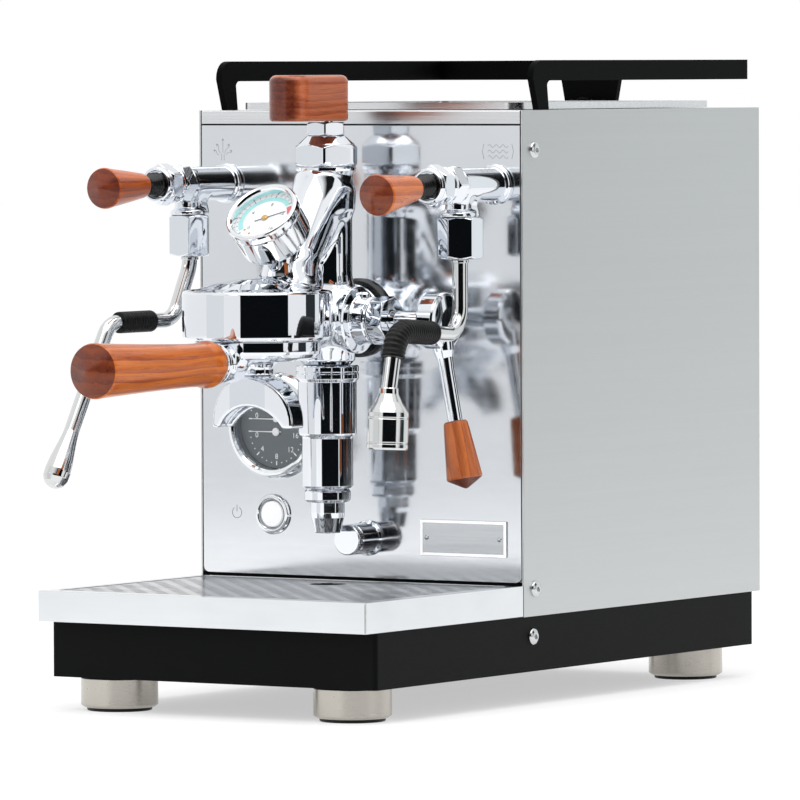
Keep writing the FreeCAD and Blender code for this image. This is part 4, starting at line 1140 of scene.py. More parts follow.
# --------------------------------------------------------------------------
# power button and drain stub
# --------------------------------------------------------------------------
B = (BX, YP, BZ)
lathe("switch_bezel_ring", [(9.8, -22), (9.8, -0.1), (12.2, -0.1, 0.2), (12.2, 0.9, 0.4), (11.4, 2.2, 0.9), (10.0, 2.5, 0.5), (9.3, 2.2, 0.3), (8.9, 1.7, 0.1), (8.2, 1.7, 0.1), (8.2, -16), (0.01, -16), (0.01, -22)],
      B, (0, -1, 0), M, M_CHROME_B, "switch_bezel", ring=True, seg=96)
lathe("switch_cap", [(0, -13), (5, -13), (5, -6), (7.75, -6, 0.2), (7.75, 1.5, 0.5), (7.2, 2.05, 0.5), (0, 2.3)], B, (0, -1, 0), "power_button", M_LENS, "switch_button", seg=96)
lathe("switch_light_ring", [(8.25, 0.2), (9.15, 0.2, 0.05), (9.1, 1.95, 0.15), (8.25, 1.9, 0.1)], B, (0, -1, 0), M, M_HALO, (), "lens_white", ring=True, seg=96)


def knurl(r, h, t):
    if r > 8.7 and 21.4 < h < 23.6:
        return r - 0.22 * (0.5 + 0.5 * math.cos(t * 40)) ** 2
    return r


lathe("drain_stub_turned", [(0, -12), (6, -12), (6, 0), (10.6, 0, 0.3), (10.6, 1.5, 0.5), (9.3, 2.4, 0.4), (9.2, 18.6, 0.2), (8.85, 18.9, 0.1), (8.85, 19.6, 0.1), (9.2, 19.9, 0.2), (9.2, 21.6, 0.0), (9.2, 22.5, 0.0), (9.2, 23.3, 0.4), (8.6, 24.0, 0.3), (0, 24.0)],
      (SX, YP, SZ), (0, -1, 0), M, M_CHROME, "drain_stub", seg=160, ripple=knurl)

# --------------------------------------------------------------------------
# group head
# --------------------------------------------------------------------------


def sd_poly(x, y, V):
    """Signed distance to a closed polygon (vectorised)."""
    V = np.asarray(V, float)
    d = (x - V[0, 0]) ** 2 + (y - V[0, 1]) ** 2
    s = np.ones_like(x)
    n = len(V)
    for i in range(n):
        j = i - 1
        ex, ey = V[j] - V[i]
        wx, wy = x - V[i, 0], y - V[i, 1]
        t = np.clip((wx * ex + wy * ey) / max(ex * ex + ey * ey, 1e-12), 0, 1)
        bx, by = wx - ex * t, wy - ey * t
        d = np.minimum(d, bx * bx + by * by)
        c1, c2, c3 = y >= V[i, 1], y < V[j, 1], ex * wy > ey * wx
        s = np.where((c1 & c2 & c3) | (~c1 & ~c2 & ~c3), -s, s)
    return s * np.sqrt(d)


def sd_rev(P, o, d, prof):
    """Distance to a solid of revolution; prof lists (r, h) from axis to axis."""
    w = unit(d)
    q = P - np.asarray(o, float)
    y = q @ w
    x = np.sqrt(np.maximum((q * q).sum(-1) - y * y, 0))
    pr = [(r, h) for r, h in prof if r > 1e-6]
    V = pr + [(-r, h) for r, h in reversed(pr)]
    return sd_poly(x, y, V)


def cast(name, f, lo, hi, h, body, mat, nodes=(), slot=None):
    v, fc = net(f, lo, hi, h)
    return make(name, v, fc, body, mat, nodes, slot, angle=180, wn=False)


lathe("group_bell", [(0, 236.0), (30.4, 236.0, 0.2), (30.4, 233.6, 0.2), (36.6, 233.6, 0.3), (36.6, 217.6, 0.4), (41.2, 217.3, 0.5), (43.0, 217.8, 0.8), (43.9, 219.2, 0.8), (44.0, 221, 0.5), (44.0, 244.4, 0.9), (43.2, 245.7, 0.6), (41.6, 246.1, 1.0), (34, 247.2, 4), (24, 250.2, 8), (12, 252.5, 8), (0, 253)],
      (0, YB, 0), (0, 0, 1), M, M_CHROME, "group_body", seg=192, n=5)


def f_group(P):
    P = np.asarray(P, float)
    f = sd_cone(P, (0, YV - 4.0, 306.0), (0, -133.0, 246.5), 15.6, 13.0, 1.0)
    f = smin(f, sd_cyl(P, (0, YV, 292), (0, YV, 312.4), 15.6, 0.6), 9.0)
    sd = sd_rev(P, (0, -131.5, 0), (0, 0, 1), [(18.5, 242.0), (17.2, 250.6), (14.2, 256.0), (11.0, 262.0)])
    f = smin(f, sd, 9.0)
    f = smin(f, sd_cyl(P, (0, YV, 240.0), (0, YV, 305.0), 15.2, 0.6), 6.0)
    bell = sd_rev(P, (0, YB, 0), (0, 0, 1), [(43.75, 222.0), (43.75, 243.9), (42.0, 245.5), (34, 246.8), (24, 249.8), (12, 252.1), (2, 252.6)])
    f = smin(f, bell, 8.0)
    g = sd_cyl(P, (0, YP - 6, CAM_Z), (0, -126, CAM_Z), 15.6, 0.5)
    ch = sd_rev(P, (0, YV, 0), (0, 0, 1), [(14.0, 200.4), (16.5, 203.0), (17.4, 209.0), (17.4, 238.0), (16.6, 241.8), (15.0, 244.6), (12.4, 246.9), (9.0, 248.4), (3.0, 249.6)])
    g = smin(g, ch, 5.0)
    g = smin(g, sd_cyl(P, (-13, CAM_Y, CAM_Z), (19.4, CAM_Y, CAM_Z), 16.6, 0.8), 5.0)
    f = smin(f, g, 8.0)
    cav = sd_rev(P, (0, YB, 0), (0, 0, 1), [(37.4, 200.0), (37.4, 236.8)])
    return np.maximum(f, -cav)


cast("group_casting", f_group, (-45.5, -176, 199), (45.5, -57, 314), 0.85, M, M_CHROME)
lathe("group_top_seat", [(12, 309), (15.7, 309), (15.7, 312.2, 0.8), (17.6, 314.6, 0.5), (17.6, 316.9, 0.4), (12, 317)], (0, YV, 0), (0, 0, 1), M, M_CHROME, seg=120)
lathe("group_wall_flange", [(15.0, 3.9), (20.2, 3.9, 0.2), (20.2, 8.0, 0.9), (18.4, 12.0, 2.0), (15.9, 17.0, 2.5), (15.5, 21.0)], (0, YP, CAM_Z), (0, -1, 0), M, M_CHROME, seg=120)
lathe("group_collar_ring", [(15.7, 0), (23.5, 0, 0.1), (23.5, 2.0, 0.4), (22.0, 3.8, 0.5), (15.7, 3.8, 0.2)], (0, YP, CAM_Z), (0, -1, 0), M, M_COLLAR, "group_collar", ring=True, seg=96)
lathe("cam_tube_collar", [(10, 18.4), (16.4, 18.4, 0.1), (19.2, 20.0, 0.5), (19.8, 20.9, 0.3), (19.8, 23.4, 0.5), (18.4, 24.2, 0.8), (14.6, 25.2, 1.0), (14.1, 27.0, 0.8), (13.7, 33.5, 0.4), (13.0, 34.2, 0.2), (13.0, 35.2, 0.2), (13.6, 35.8, 0.2), (6.2, 36.0)],
      (0, CAM_Y, CAM_Z), (1, 0, 0), M, M_CHROME, seg=120)
lathe("cam_end_cap", [(12, 11.0), (14.6, 11.0, 0.1), (14.6, 19.6, 1.2), (13.4, 21.6, 0.6), (11.0, 23.0, 0.8), (5, 23.2)], (0, CAM_Y, CAM_Z), (-1, 0, 0), M, M_CHROME, seg=96)
lathe("cam_locking_screw", [(0, 9.0), (3.4, 9.0), (3.4, 15.2, 0.3), (2.3, 16.5, 0.4), (1.3, 16.5, 0.1), (1.3, 15.2, 0.05), (0, 15.2)], (27.0, CAM_Y, CAM_Z), (0, 0, 1), M, M_CHROME, seg=48)
v, f = hex_mesh(26.0, 11.0, (36.0, CAM_Y, CAM_Z), (1, 0, 0), turn=12, bore=6.4)
make("cam_gland_nut", v, f, M, M_CHROME, "cam_nut", angle=28)
v, f = hex_mesh(35.0, 13.0, (0, YV, 317.0), (0, 0, 1), turn=27, bore=0, face_r=17.3)
v2, f2 = lathe_mesh(solid_prof([(17.2, 329.6), (16.6, 330.6, 0.4), (11.6, 335.0, 0.6), (10.8, 335.3)]), (0, YV, 0), (0, 0, 1), 120)
v, f = join_meshes([(v, f), (v2, f2)])
make("head_nut_turned", v, f, M, M_CHROME, "mushroom_nut", angle=28)
v, f = hex_mesh(21.5, 8.0, (0, YV, 335.3), (0, 0, 1), turn=28, bore=4.2)
make("flow_gland_nut", v, f, M, M_CHROME, "flow_gland", angle=28)
lathe("flow_spindle_turned", [(0, 309), (3, 309), (4, 310, 0.3), (4, 356, 0.2), (0, 356)], (0, YV, 0), (0, 0, 1), "flow_control", M_CHROME, "flow_spindle", seg=48)


def prism(x0, x1, y0, y1, rv, prof, nq=28):
    """Upright body with one rounded-rectangle outline; prof lists (inset, z)."""
    cs = [(x1 - rv, y1 - rv, 0), (x0 + rv, y1 - rv, 90), (x0 + rv, y0 + rv, 180), (x1 - rv, y0 + rv, 270)]
    verts, loops = [], []
    for ins, z in prof:
        ids = []
        for cx, cy, a in cs:
            for k in range(nq + 1):
                q = math.radians(a + 90.0 * k / nq)
                ids.append(len(verts))
                verts.append(np.array((cx + (rv - ins) * math.cos(q), cy + (rv - ins) * math.sin(q), z)))
        loops.append(ids)
    faces = []
    m = len(loops[0])
    for a, b in zip(loops[:-1], loops[1:]):
        for i in range(m):
            k = (i + 1) % m
            faces.append((a[i], a[k], b[k], b[i]))
    faces.append(tuple(reversed(loops[0])))
    faces.append(tuple(loops[-1]))
    return verts, faces


def fillet_prof(z0, z1, rb, rt, n=7):
    p = [(rb * (1 - math.sin(math.pi / 2 * k / n)), z0 + rb * (1 - math.cos(math.pi / 2 * k / n))) for k in range(n + 1)]
    p += [(0.0, z0 + rb + (z1 - rt - z0 - rb) * k / 5) for k in range(1, 5)]
    p += [(rt * (1 - math.cos(math.pi / 2 * k / n)), z1 - rt * (1 - math.sin(math.pi / 2 * k / n))) for k in range(n + 1)]
    return p


v, f = prism(-13.0, 13.0, YV - 50.0, YV + 13.0, 12.99, fillet_prof(343.9, 371.0, 2.0, 4.2))
make("flow_knob_wood", v, f, "flow_control", M_WOOD_K, "flow_knob", angle=45)

lathe("lower_chamber_turned", [(12, 200.3), (17.9, 200.2, 0.3), (18.8, 199.3, 0.5), (18.8, 196.6, 0.15), (18.4, 196.2, 0.1), (18.4, 195.4, 0.1), (18.8, 195.0, 0.15), (18.8, 192.3, 0.6), (17.4, 190.4, 0.5), (17.3, 160.0, 0.5), (16.9, 158.9, 0.4), (15.7, 158.1, 0.3), (15.2, 157.0, 0.2), (15.2, 128.9, 0.5), (14.0, 127.6, 0.3), (12, 127.6)][::-1],
      (0, YV, 0), (0, 0, 1), M, M_CHROME, "lower_chamber", seg=144)
lathe("discharge_nozzle_turned", [(4.0, 101.0), (7.2, 101.0, 0.2), (7.7, 101.6, 0.4), (9.8, 110.0, 1.0), (10.2, 113.0, 1.0), (10.2, 119.3, 0.3), (12.6, 119.4, 0.2), (13.8, 120.8, 0.4), (13.8, 125.5, 0.4), (12.8, 126.8, 0.3), (12.2, 128.0, 0.1), (4.0, 128.0), (4.0, 101.0)],
      (0, YV, 0), (0, 0, 1), M, M_CHROME, "discharge_nozzle", seg=120, ring=True)

# group gauge
GD = unit((0, -1, 1))
GC = np.array((0.0, -157.3, 290.9))
EX, EZ = np.array((1.0, 0, 0)), unit((0, 1, 1))
lathe("group_gauge_shell", [(0.01, -23.2), (19.4, -23.2, 0.8), (21.4, -21.4, 1.4), (21.7, -19, 0.5), (22.0, -5.4, 0.4), (22.2, -4.4, 0.3), (22.5, -3.4, 0.4), (22.6, -0.4, 0.5), (22.3, 1.2, 0.8), (21.4, 1.9, 0.6), (19.8, 1.5, 0.8), (18.8, 0.2, 0.4), (18.6, -4.2, 0.1), (19.8, -6.2, 0.1), (19.6, -21.4, 0.1), (0.01, -21.4)],
      GC, GD, M, M_CHROME_B, "group_gauge_case", ring=True, seg=144)


def f_stem(P):
    P = np.asarray(P, float)
    a = sd_cyl(P, GC - GD * 20.0, GC - GD * 33.0, 8.4, 0.8)
    b = sd_rev(P, (0, -138.5, 0), (0, 0, 1), [(12.6, 247.0), (12.2, 252.0), (11.0, 256.0), (9.4, 262.0), (8.8, 268.0), (8.2, 272.0), (6.0, 275.0)])
    return smin(a, b, 5.0)


cast("group_gauge_stem", f_stem, (-15, -168, 246), (15, -122, 290), 0.7, M, M_CHROME)
lathe("group_gauge_dial_plate", [(0, -5.4), (19.75, -5.4, 0.1), (19.75, -4.4, 0.1), (0, -4.4)], GC, GD, M, M_DIALW, "group_gauge_dial", seg=96)
lathe("group_gauge_pane", [(0, -1.4), (20.1, -1.4, 0.1), (20.1, -0.3, 0.2), (0, -0.2)], GC, GD, M, M_GLASS, "group_gauge_glass", seg=96)


def on_dial(vf, h):
    return xform(vf, GC + GD * h, EX, -GD, EZ)


make("group_dial_teal_band", *on_dial(ribbon(arc2(0, 0, 15.4, 218, 42, 60), 3.0, 0), -4.36), M, M_TEAL, (), "dial_white", smooth=False)
make("group_dial_red_band", *on_dial(ribbon(arc2(0, 0, 15.4, 38, 14, 20), 3.0, 0), -4.36), M, M_RED, (), "dial_white", smooth=False)
parts = []
for k in range(25):
    a = 225 - 270.0 * k / 24
    q = math.radians(a)
    r1 = 18.2
    r0 = 17.3 if k % 4 else 16.4
    parts.append(ribbon([(r0 * math.cos(q), r0 * math.sin(q)), (r1 * math.cos(q), r1 * math.sin(q))], 0.3 if k % 4 else 0.5, 0))
for k, s in enumerate(("0", "4", "8", "12", "16")):
    q = math.radians(225 - 270.0 * k / 4)
    parts.append(at(text_mesh(s, 3.4), 11.0 * math.cos(q), -0.025, 11.0 * math.sin(q)))
v, f = join_meshes(parts)
make("group_dial_print", *on_dial((v, f), -4.34), M, M_NEEDLE_B, (), "needle_black", smooth=False)
nd = unit(EX * 0.907 + EZ * 0.42)
needle_obj("group_needle_blade", "group_needle", "group_gauge_needle", GC, nd, np.cross(GD, nd), GD, 6.5, 13.5, 0.75, 1.9, -4.05, M_NEEDLE_B, M_BRASS, 1.1)
v, f = join_meshes([lathe_mesh([(0, -4.5), (0.85, -4.5), (0.85, -4.3, 0.05), (0, -4.26)], GC + EX * x + EZ * z, GD, 24) for x, z in ((-9.8, -9.4), (-5.4, -12.2))])
make("group_dial_pins", v, f, M, M_BRASS, (), "brass")

# --------------------------------------------------------------------------
# brew lever
# --------------------------------------------------------------------------
LC = np.array((LEV_X, CAM_Y, CAM_Z))
LD = np.array((math.sin(math.radians(LEV_TILT)), 0, -math.cos(math.radians(LEV_TILT))))
v, f = join_meshes([
    lathe_mesh([(0, 6.0 - LEV_X), (6.0, 6.0 - LEV_X, 0.2), (6.0, -11.4, 0.1), (7.8, -11.2, 0.3), (8.4, -9.6, 0.4), (9.4, -6.9, 0.3), (15.4, -6.5, 0.5), (16.8, -5.4, 0.5), (17.0, -4.6, 0.4), (17.0, 4.2, 0.5), (16.4, 5.4, 0.6), (14.8, 6.4, 0.7), (8.0, 6.9, 0.6), (0, 6.6)], LC, (1, 0, 0), 144),
    lathe_mesh([(0, 8.0), (6.9, 8.0, 0.2), (6.6, 14.0, 2.0), (6.1, 17.8, 2.0), (4.9, 22.0, 3.0), (4.4, 29.5, 4.0), (4.4, 60.0, 0.2), (0, 60.0)], LC, LD, 72)])
make("brew_lever_arm", v, f, "brew_lever", M_CHROME, "lever_arm", angle=35)
lathe("brew_lever_grip", [(4.5, 59.1), (6.2, 59.3, 0.4), (7.1, 60.3, 0.8), (7.6, 64.0, 2.0), (10.4, 90.6, 1.5), (10.6, 92.4, 0.5), (10.2, 93.5, 0.4), (1.2, 98.8, 0.6), (0, 99.1)], LC, LD, "brew_lever", M_WOOD_LEV, "lever_grip", seg=96)

# --------------------------------------------------------------------------
# portafilter with its spout
# --------------------------------------------------------------------------
lathe("portafilter_bowl", [(5.0, 205.4), (28.6, 205.4, 0.8), (32.6, 205.9, 1.6), (35.4, 207.2, 1.8), (36.8, 209.3, 1.4), (37.0, 211.0, 0.8), (37.0, 216.7, 0.35), (34.6, 216.9, 0.1), (34.6, 230.8, 0.3), (31.2, 231.0, 0.3), (31.2, 211.0, 1.5), (27.0, 208.4, 1.5), (5.0, 208.4)],
      (0, YB, 0), (0, 0, 1), "portafilter", M_CHROME, "portafilter_body", seg=168, ring=True)


def f_boss(P):
    P = np.asarray(P, float)
    b = sd_rev(P, (0, YB, PF_Z), (0, -1, 0), [(11.2, 27.0), (11.0, 38.5), (9.9, 40.6), (9.7, 42.0)])
    bowl = sd_rev(P, (0, YB, 0), (0, 0, 1), [(27.6, 205.7), (31.5, 206.6), (34.7, 208.8), (36.4, 211.4), (36.7, 213.6), (36.7, 216.4), (20.0, 216.4)])
    f = smin(b, bowl, 7.0)
    f = smin(f, sd_rev(P, (0, YB, 0), (0, 0, 1), [(9.2, 196.6), (9.2, 201.0), (11.0, 203.6), (13.6, 206.4)]), 3.0)
    f = np.maximum(f, P[:, 2] - 216.6)
    inner = sd_rev(P, (0, YB, 0), (0, 0, 1), [(27.2, 208.2), (31.5, 210.9), (31.5, 240.0), (2, 240.0)])
    inner = np.minimum(inner, sd_cyl(P, (0, YB, 190), (0, YB, 215), 5.0))
    return np.maximum(f, -inner)


cast("portafilter_boss", f_boss, (-38.5, -206, 193), (38.5, -124, 218), 0.8, "portafilter", M_CHROME)
lathe("portafilter_neck_rings", [(3, 40.0), (9.7, 40.0, 0.2), (9.5, 42.0, 0.6), (10.1, 43.4, 0.5), (11.4, 44.4, 0.3), (11.9, 45.1, 0.3), (11.0, 45.9, 0.25), (11.0, 46.4, 0.2), (12.2, 47.0, 0.3), (12.5, 47.8, 0.3), (12.4, 49.3, 0.2), (3, 49.5)],
      (0, YB, PF_Z), (0, -1, 0), "portafilter", M_CHROME, seg=120)
HY = -212.3
lathe("portafilter_handle_wood", [(4.0, -0.2), (11.4, -0.2, 0.4), (13.1, 0.8, 1.0), (13.8, 3.6, 1.2), (13.7, 6.6, 1.2), (13.0, 9.0, 1.6), (12.6, 11.6, 2.0), (12.5, 24.0, 12), (12.9, 40.0, 20), (13.7, 66.0, 20), (14.7, 92.0, 20), (15.75, 114.6, 3), (15.95, 117.2, 0.5), (15.4, 118.7, 0.4), (1.2, 125.1, 0.6), (0, 125.3)],
      (0, HY, PF_Z), (0, -1, 0), "portafilter", M_WOOD_PF, "portafilter_grip", seg=128, n=6)

SR, SC_, IR, IC = 27.6, 168.4, 25.5, 153.1


def f_spout(P):
    P = np.asarray(P, float)
    x, y, z = P[:, 0], P[:, 1] - YB, P[:, 2]
    o = np.hypot(x, z - SC_) - SR
    i = IR - np.hypot(x, z - IC)
    d2 = smax(smax(o, i, 1.2), 166.0 - z, 1.0)
    hd = 11.0 - 4.2 * np.clip(np.abs(x) / 27.6, 0, 1) ** 2
    w = np.stack([d2 + 1.3, np.abs(y) - hd + 1.3], -1)
    f = np.linalg.norm(np.maximum(w, 0), axis=-1) + np.minimum(w.max(-1), 0) - 1.3
    # open trough on the underside
    g2 = np.maximum(np.hypot(x, z - SC_) - (SR - 2.4), IR + 0.2 - np.hypot(x, z - IC - 0.6) - 3.2)
    trough = np.maximum(np.maximum(np.hypot(x, z - SC_) - (SR - 2.4), np.hypot(x, z - IC - 0.6) - (IR + 3.0)), np.abs(y) - (hd - 2.8))
    trough = np.maximum(trough, 164.8 - z)
    f = smax(f, -trough, 1.0)
    nk = sd_rev(P, (0, YB, 0), (0, 0, 1), [(13.0, 185.0), (12.2, 190.5), (11.0, 193.0), (10.2, 196.2)])
    f = smin(f, np.maximum(nk, np.abs(y) - 8.0), 2.0)
    return np.maximum(f, -sd_cyl(P, (0, YB, 170), (0, YB, 200), 4.0))


cast("double_spout", f_spout, (-29, YB - 13, 163), (29, YB + 13, 198), 0.6, "portafilter", M_CHROME, "spout")
keep("filter_basket", M_WAND)

# --------------------------------------------------------------------------
# valves, joysticks and wands
# --------------------------------------------------------------------------
bodies_v, rings_v, hexes_v, caps_v, nuts_v = [], [], [], [], []


def f_valve(sg):
    X = sg * VX

    def f(P):
        P = np.asarray(P, float)
        b = sd_rev(P, (X, YP, VZ), (0, -1, 0), [(10.2, 3.0), (10.2, 43.6), (9.6, 45.2)])
        arm = sd_box(P, (X, -86.5, 297.0), (5.6, 8.2, 9.0), 1.6)
        cut = P[:, 1] + 0.55 * (P[:, 2] - 290.0) + 77.5
        arm = smax(arm, cut * 0.87, 2.0)
        stub = sd_rev(P, (X, -95.6, 0), (0, 0, 1), [(9.6, 288.3), (9.4, 290.4), (6.9, 292.4), (6.5, 302.0)])
        f_ = smin(b, smin(arm, stub, 3.0), 4.0)
        fl = sd_rev(P, (X, WY, 0), (0, 0, 1), [(9.7, 288.2), (9.7, 290.6), (8.6, 291.4)])
        return smin(f_, fl, 1.4)
    return f


for sg in (-1, 1):
    X = sg * VX
    bodies_v.append(net(f_valve(sg), (X - 13, -107, 286.5), (X + 13, -54.5, 319), 0.65))
    rings_v.append(lathe_mesh([(6, -2), (12.0, -0.5, 0.1), (12.0, 1.5, 0.3), (11.2, 1.9, 0.15), (11.2, 2.3, 0.1), (11.8, 2.7, 0.3), (11.4, 3.6, 0.4), (10.0, 4.2, 0.2), (6, 4.2)], (X, YP, VZ), (0, -1, 0), 96))
    rings_v.append(lathe_mesh([(6, 43.0), (10.2, 43.0, 0.2), (11.0, 44.6, 0.5), (11.2, 47.0, 0.3), (10.2, 48.0), (6, 48)], (X, YP, VZ), (0, -1, 0), 96))
    rings_v.append(lathe_mesh([(6, 56.4), (10.6, 56.4), (11.2, 57.4, 0.3), (11.3, 59.6, 0.4), (10.6, 60.6, 0.2), (9.4, 60.9, 0.1), (9.4, 62.5), (6, 62.5)], (X, YP, VZ), (0, -1, 0), 96))
    hexes_v.append(hex_mesh(21.6, 10.0, (X, YP - 47.0, VZ), (0, -1, 0), turn=0, bore=0, face_r=10.9))
    h1 = hex_mesh(21.8, 10.4, (X, YP - 61.3, VZ), (0, -1, 0), turn=30, bore=8.7, face_r=10.7)
    h2 = lathe_mesh([(8.5, 71.0), (10.9, 71.0), (10.9, 72.2, 0.5), (10.5, 74.2, 1.2), (9.6, 75.0, 0.5), (8.5, 74.9, 0.2)], (X, YP, VZ), (0, -1, 0), 96, closed=True)
    caps_v += [h1, h2]
    nuts_v.append(hex_mesh(23.5, 24.6, (X, WY, 263.5), (0, 0, 1), turn=30.0 if sg < 0 else 2.5, bore=5.4, face_r=11.1))
for nm, lst, nd_, an in (("valve_castings", bodies_v, "valve_bodies", 180), ("valve_rings", rings_v, (), 35), ("valve_hexagons", hexes_v, (), 28), ("valve_cap_nuts_turned", caps_v, "valve_cap_nuts", 28), ("wand_swivel_nuts", nuts_v, "wand_nuts", 28)):
    v, f = join_meshes(lst)
    make(nm, v, f, M, M_CHROME, nd_, angle=an, wn=an != 180)

for sg, nm, mt, dip in ((-1, "steam", M_WOOD_L, 1.5), (1, "water", M_WOOD_R, 4.9)):
    C = np.array((sg * VX, YP - 76.0, VZ))
    JD = (0, -math.cos(math.radians(dip)), -math.sin(math.radians(dip)))
    b = nm + "_lever"
    lathe(nm + "_bellows", [(0, -7.8), (4, -6.9, 1), (6.9, -3.4, 1), (7.3, -0.6, 1), (6.9, 0.8, 0.5), (5.7, 1.9, 0.35), (6.7, 3.0, 0.45), (5.5, 4.1, 0.35), (6.4, 5.2, 0.45), (5.3, 6.3, 0.35), (6.2, 7.4, 0.45), (5.2, 8.5, 0.35), (6.0, 9.7, 0.45), (5.4, 10.9, 0.35), (6.1, 12.0, 0.4), (6.0, 12.7, 0.3), (4.0, 13.2, 0.2), (4, 22), (0, 22)],
          C, JD, b, M_COLLAR, nm + "_joystick", seg=96, angle=60)
    lathe(nm + "_grip_wood", [(4.0, 12.9), (6.4, 13.0, 0.3), (7.2, 13.8, 0.6), (7.5, 15.0, 1.0), (9.4, 30.0, 12), (11.8, 50.0, 2), (12.1, 51.8, 0.5), (11.6, 53.1, 0.35), (1.2, 57.5, 0.6), (0, 57.7)],
          C, JD, b, mt, nm + "_grip", seg=112, n=6)


def wpt(sg, yaw, s, z):
    a = math.radians(yaw)
    return np.array((sg * (VX + s * math.sin(a)), WY - s * math.cos(a), z))


def wdir(sg, yaw, ds, dz):
    a = math.radians(yaw)
    return unit((sg * ds * math.sin(a), -ds * math.cos(a), dz))


def tube(pts, radii, r, seg=48, step=1.0, ends=0.6):
    P, _ = resample(path_points(pts, radii, n_arc=24), step)
    return tube_mesh(P, r, seg, True, ends)


p0 = [wpt(-1, 7.5, s, z) for s, z in ((0, 284), (0, 258), (15.0, 226.0), (72.0, 225.5), (119.5, 136.0))]
tip0, td = wpt(-1, 7.5, 105.5, 162.3), wdir(-1, 7.5, 47.5, -89.5)
v, f = join_meshes([
    tube(p0, [25, 14, 13], 4.6, ends=0.3),
    lathe_mesh([(0, -0.5), (4.62, -0.5, 0.1), (4.8, 2, 2), (5.6, 8, 6), (7.2, 18, 8), (7.9, 25.5, 4), (7.6, 30, 3), (5.9, 33.4, 1.6), (3.2, 35.2, 0.8), (0, 35.4)], tip0, td, 72),
    lathe_mesh([(0, 261.2), (4.9, 261.2), (5.3, 261.6, 0.2), (5.3, 262.8, 0.3), (5.0, 263.4, 0.1), (0, 263.5)], (-VX, WY, 0), (0, 0, 1), 48)])
make("steam_wand_tube", v, f, "steam_wand", M_WAND, "steam_wand", angle=50)
u_, v_, w_ = basis(td)
# painted shade: small black discs stand in for the dark inside of the four tip holes
parts = []
for k in range(4):
    q = math.radians(90 * k + 45)
    dirn = unit(td * 0.75 + (u_ * math.cos(q) + v_ * math.sin(q)) * 0.66)
    parts.append(lathe_mesh([(0, 0), (0.85, 0, 0.05), (0.85, 0.5, 0.1), (0, 0.5)], tip0 + td * 33.55 + (u_ * math.cos(q) + v_ * math.sin(q)) * 4.35, dirn, 20))
v, f = join_meshes(parts)
make("steam_tip_holes", v, f, "steam_wand", M_COLLAR, (), "black_plastic")
a0, ad = wpt(-1, 7.5, 34.7, 225.83), wdir(-1, 7.5, 57, -0.5)
prof = [(4.65, 0.1), (5.6, 0.0), (6.2, 0.5)]
for k in range(12):
    h0 = 0.9 + k * 2.3
    prof += [(6.4, h0 + 0.3), (6.4, h0 + 1.35), (5.95, h0 + 1.65), (5.95, h0 + 2.05)]
prof += [(6.4, 28.6), (6.1, 29.1), (4.65, 29.3)]
v, f = lathe_mesh(prof, a0, ad, 72, True, 0.18, 3)
make("steam_wand_sleeve", v, f, "steam_wand", M_RUBBER, "steam_sleeve", angle=60)

p0 = [wpt(1, 4.0, s, z) for s, z in ((0, 284), (0, 219.5), (78.0, 224.0), (89.0, 184.0))]
o0, od = wpt(1, 4.0, 87.4, 191.5), wdir(1, 4.0, 0.06, -1)
v, f = join_meshes([
    tube(p0, [15, 15], 4.6, ends=0.3),
    lathe_mesh([(0, -0.4), (5.0, -0.4, 0.1), (5.6, 0.2, 0.2), (5.8, 3.2, 0.8), (8.0, 8.0, 1.0), (10.9, 12.2, 0.8), (11.9, 14.0, 0.5), (11.9, 16.6, 0.15), (11.6, 17.0, 0.1), (11.6, 17.6, 0.1), (11.9, 18.0, 0.15), (11.9, 31.0, 0.3), (11.5, 31.4, 0.15), (11.5, 32.0, 0.15), (11.9, 32.4, 0.2), (11.9, 34.4, 0.4), (11.2, 35.5, 0.3), (9.7, 35.5, 0.2), (9.5, 33.0, 0.1), (0, 33.0)], o0, od, 120),
    lathe_mesh([(0, 261.2), (4.9, 261.2), (5.3, 261.6, 0.2), (5.3, 262.8, 0.3), (5.0, 263.4, 0.1), (0, 263.5)], (VX, WY, 0), (0, 0, 1), 48)])
make("water_wand_tube", v, f, "water_wand", M_WAND, "water_wand", angle=50)
q0 = wpt(1, 4.0, 36.0, 219.5 + 4.5 * 36 / 78.0)
q1 = wpt(1, 4.0, 78.0, 224.0)
q2 = q1 + wdir(1, 4.0, 11.0, -40.0) * 16.0
P, _ = resample(path_points([q0, q1, q2], [15], n_arc=24), 0.34)
LEN = float(np.linalg.norm(np.diff(P, axis=0), axis=1).sum())


def rib(s):
    if s < 2.0 or s > LEN - 2.0:
        return 7.0
    q = (s % 2.35) / 2.35
    return 7.0 - 0.45 * max(0.0, min(1.0, (0.5 + 0.9 * math.cos(2 * math.pi * q)) if q < 2 else 0)) ** 0.8


v, f = tube_mesh(P, rib, 72, True, 0.7)
make("water_wand_sleeve", v, f, "water_wand", M_RUBBER, "water_sleeve", angle=60)

# tray corner seam, right front corner only
v, f = join_meshes([box_mesh(sx * 113.35 - 0.14, sx * 113.35 + 0.14, -224.56, -224.2, 53.6, 70.2, 0.05, 1) for sx in (1,)])
make("tray_corner_seams", v, f, "drip_tray", M_COLLAR, (), "satin_steel", smooth=False)

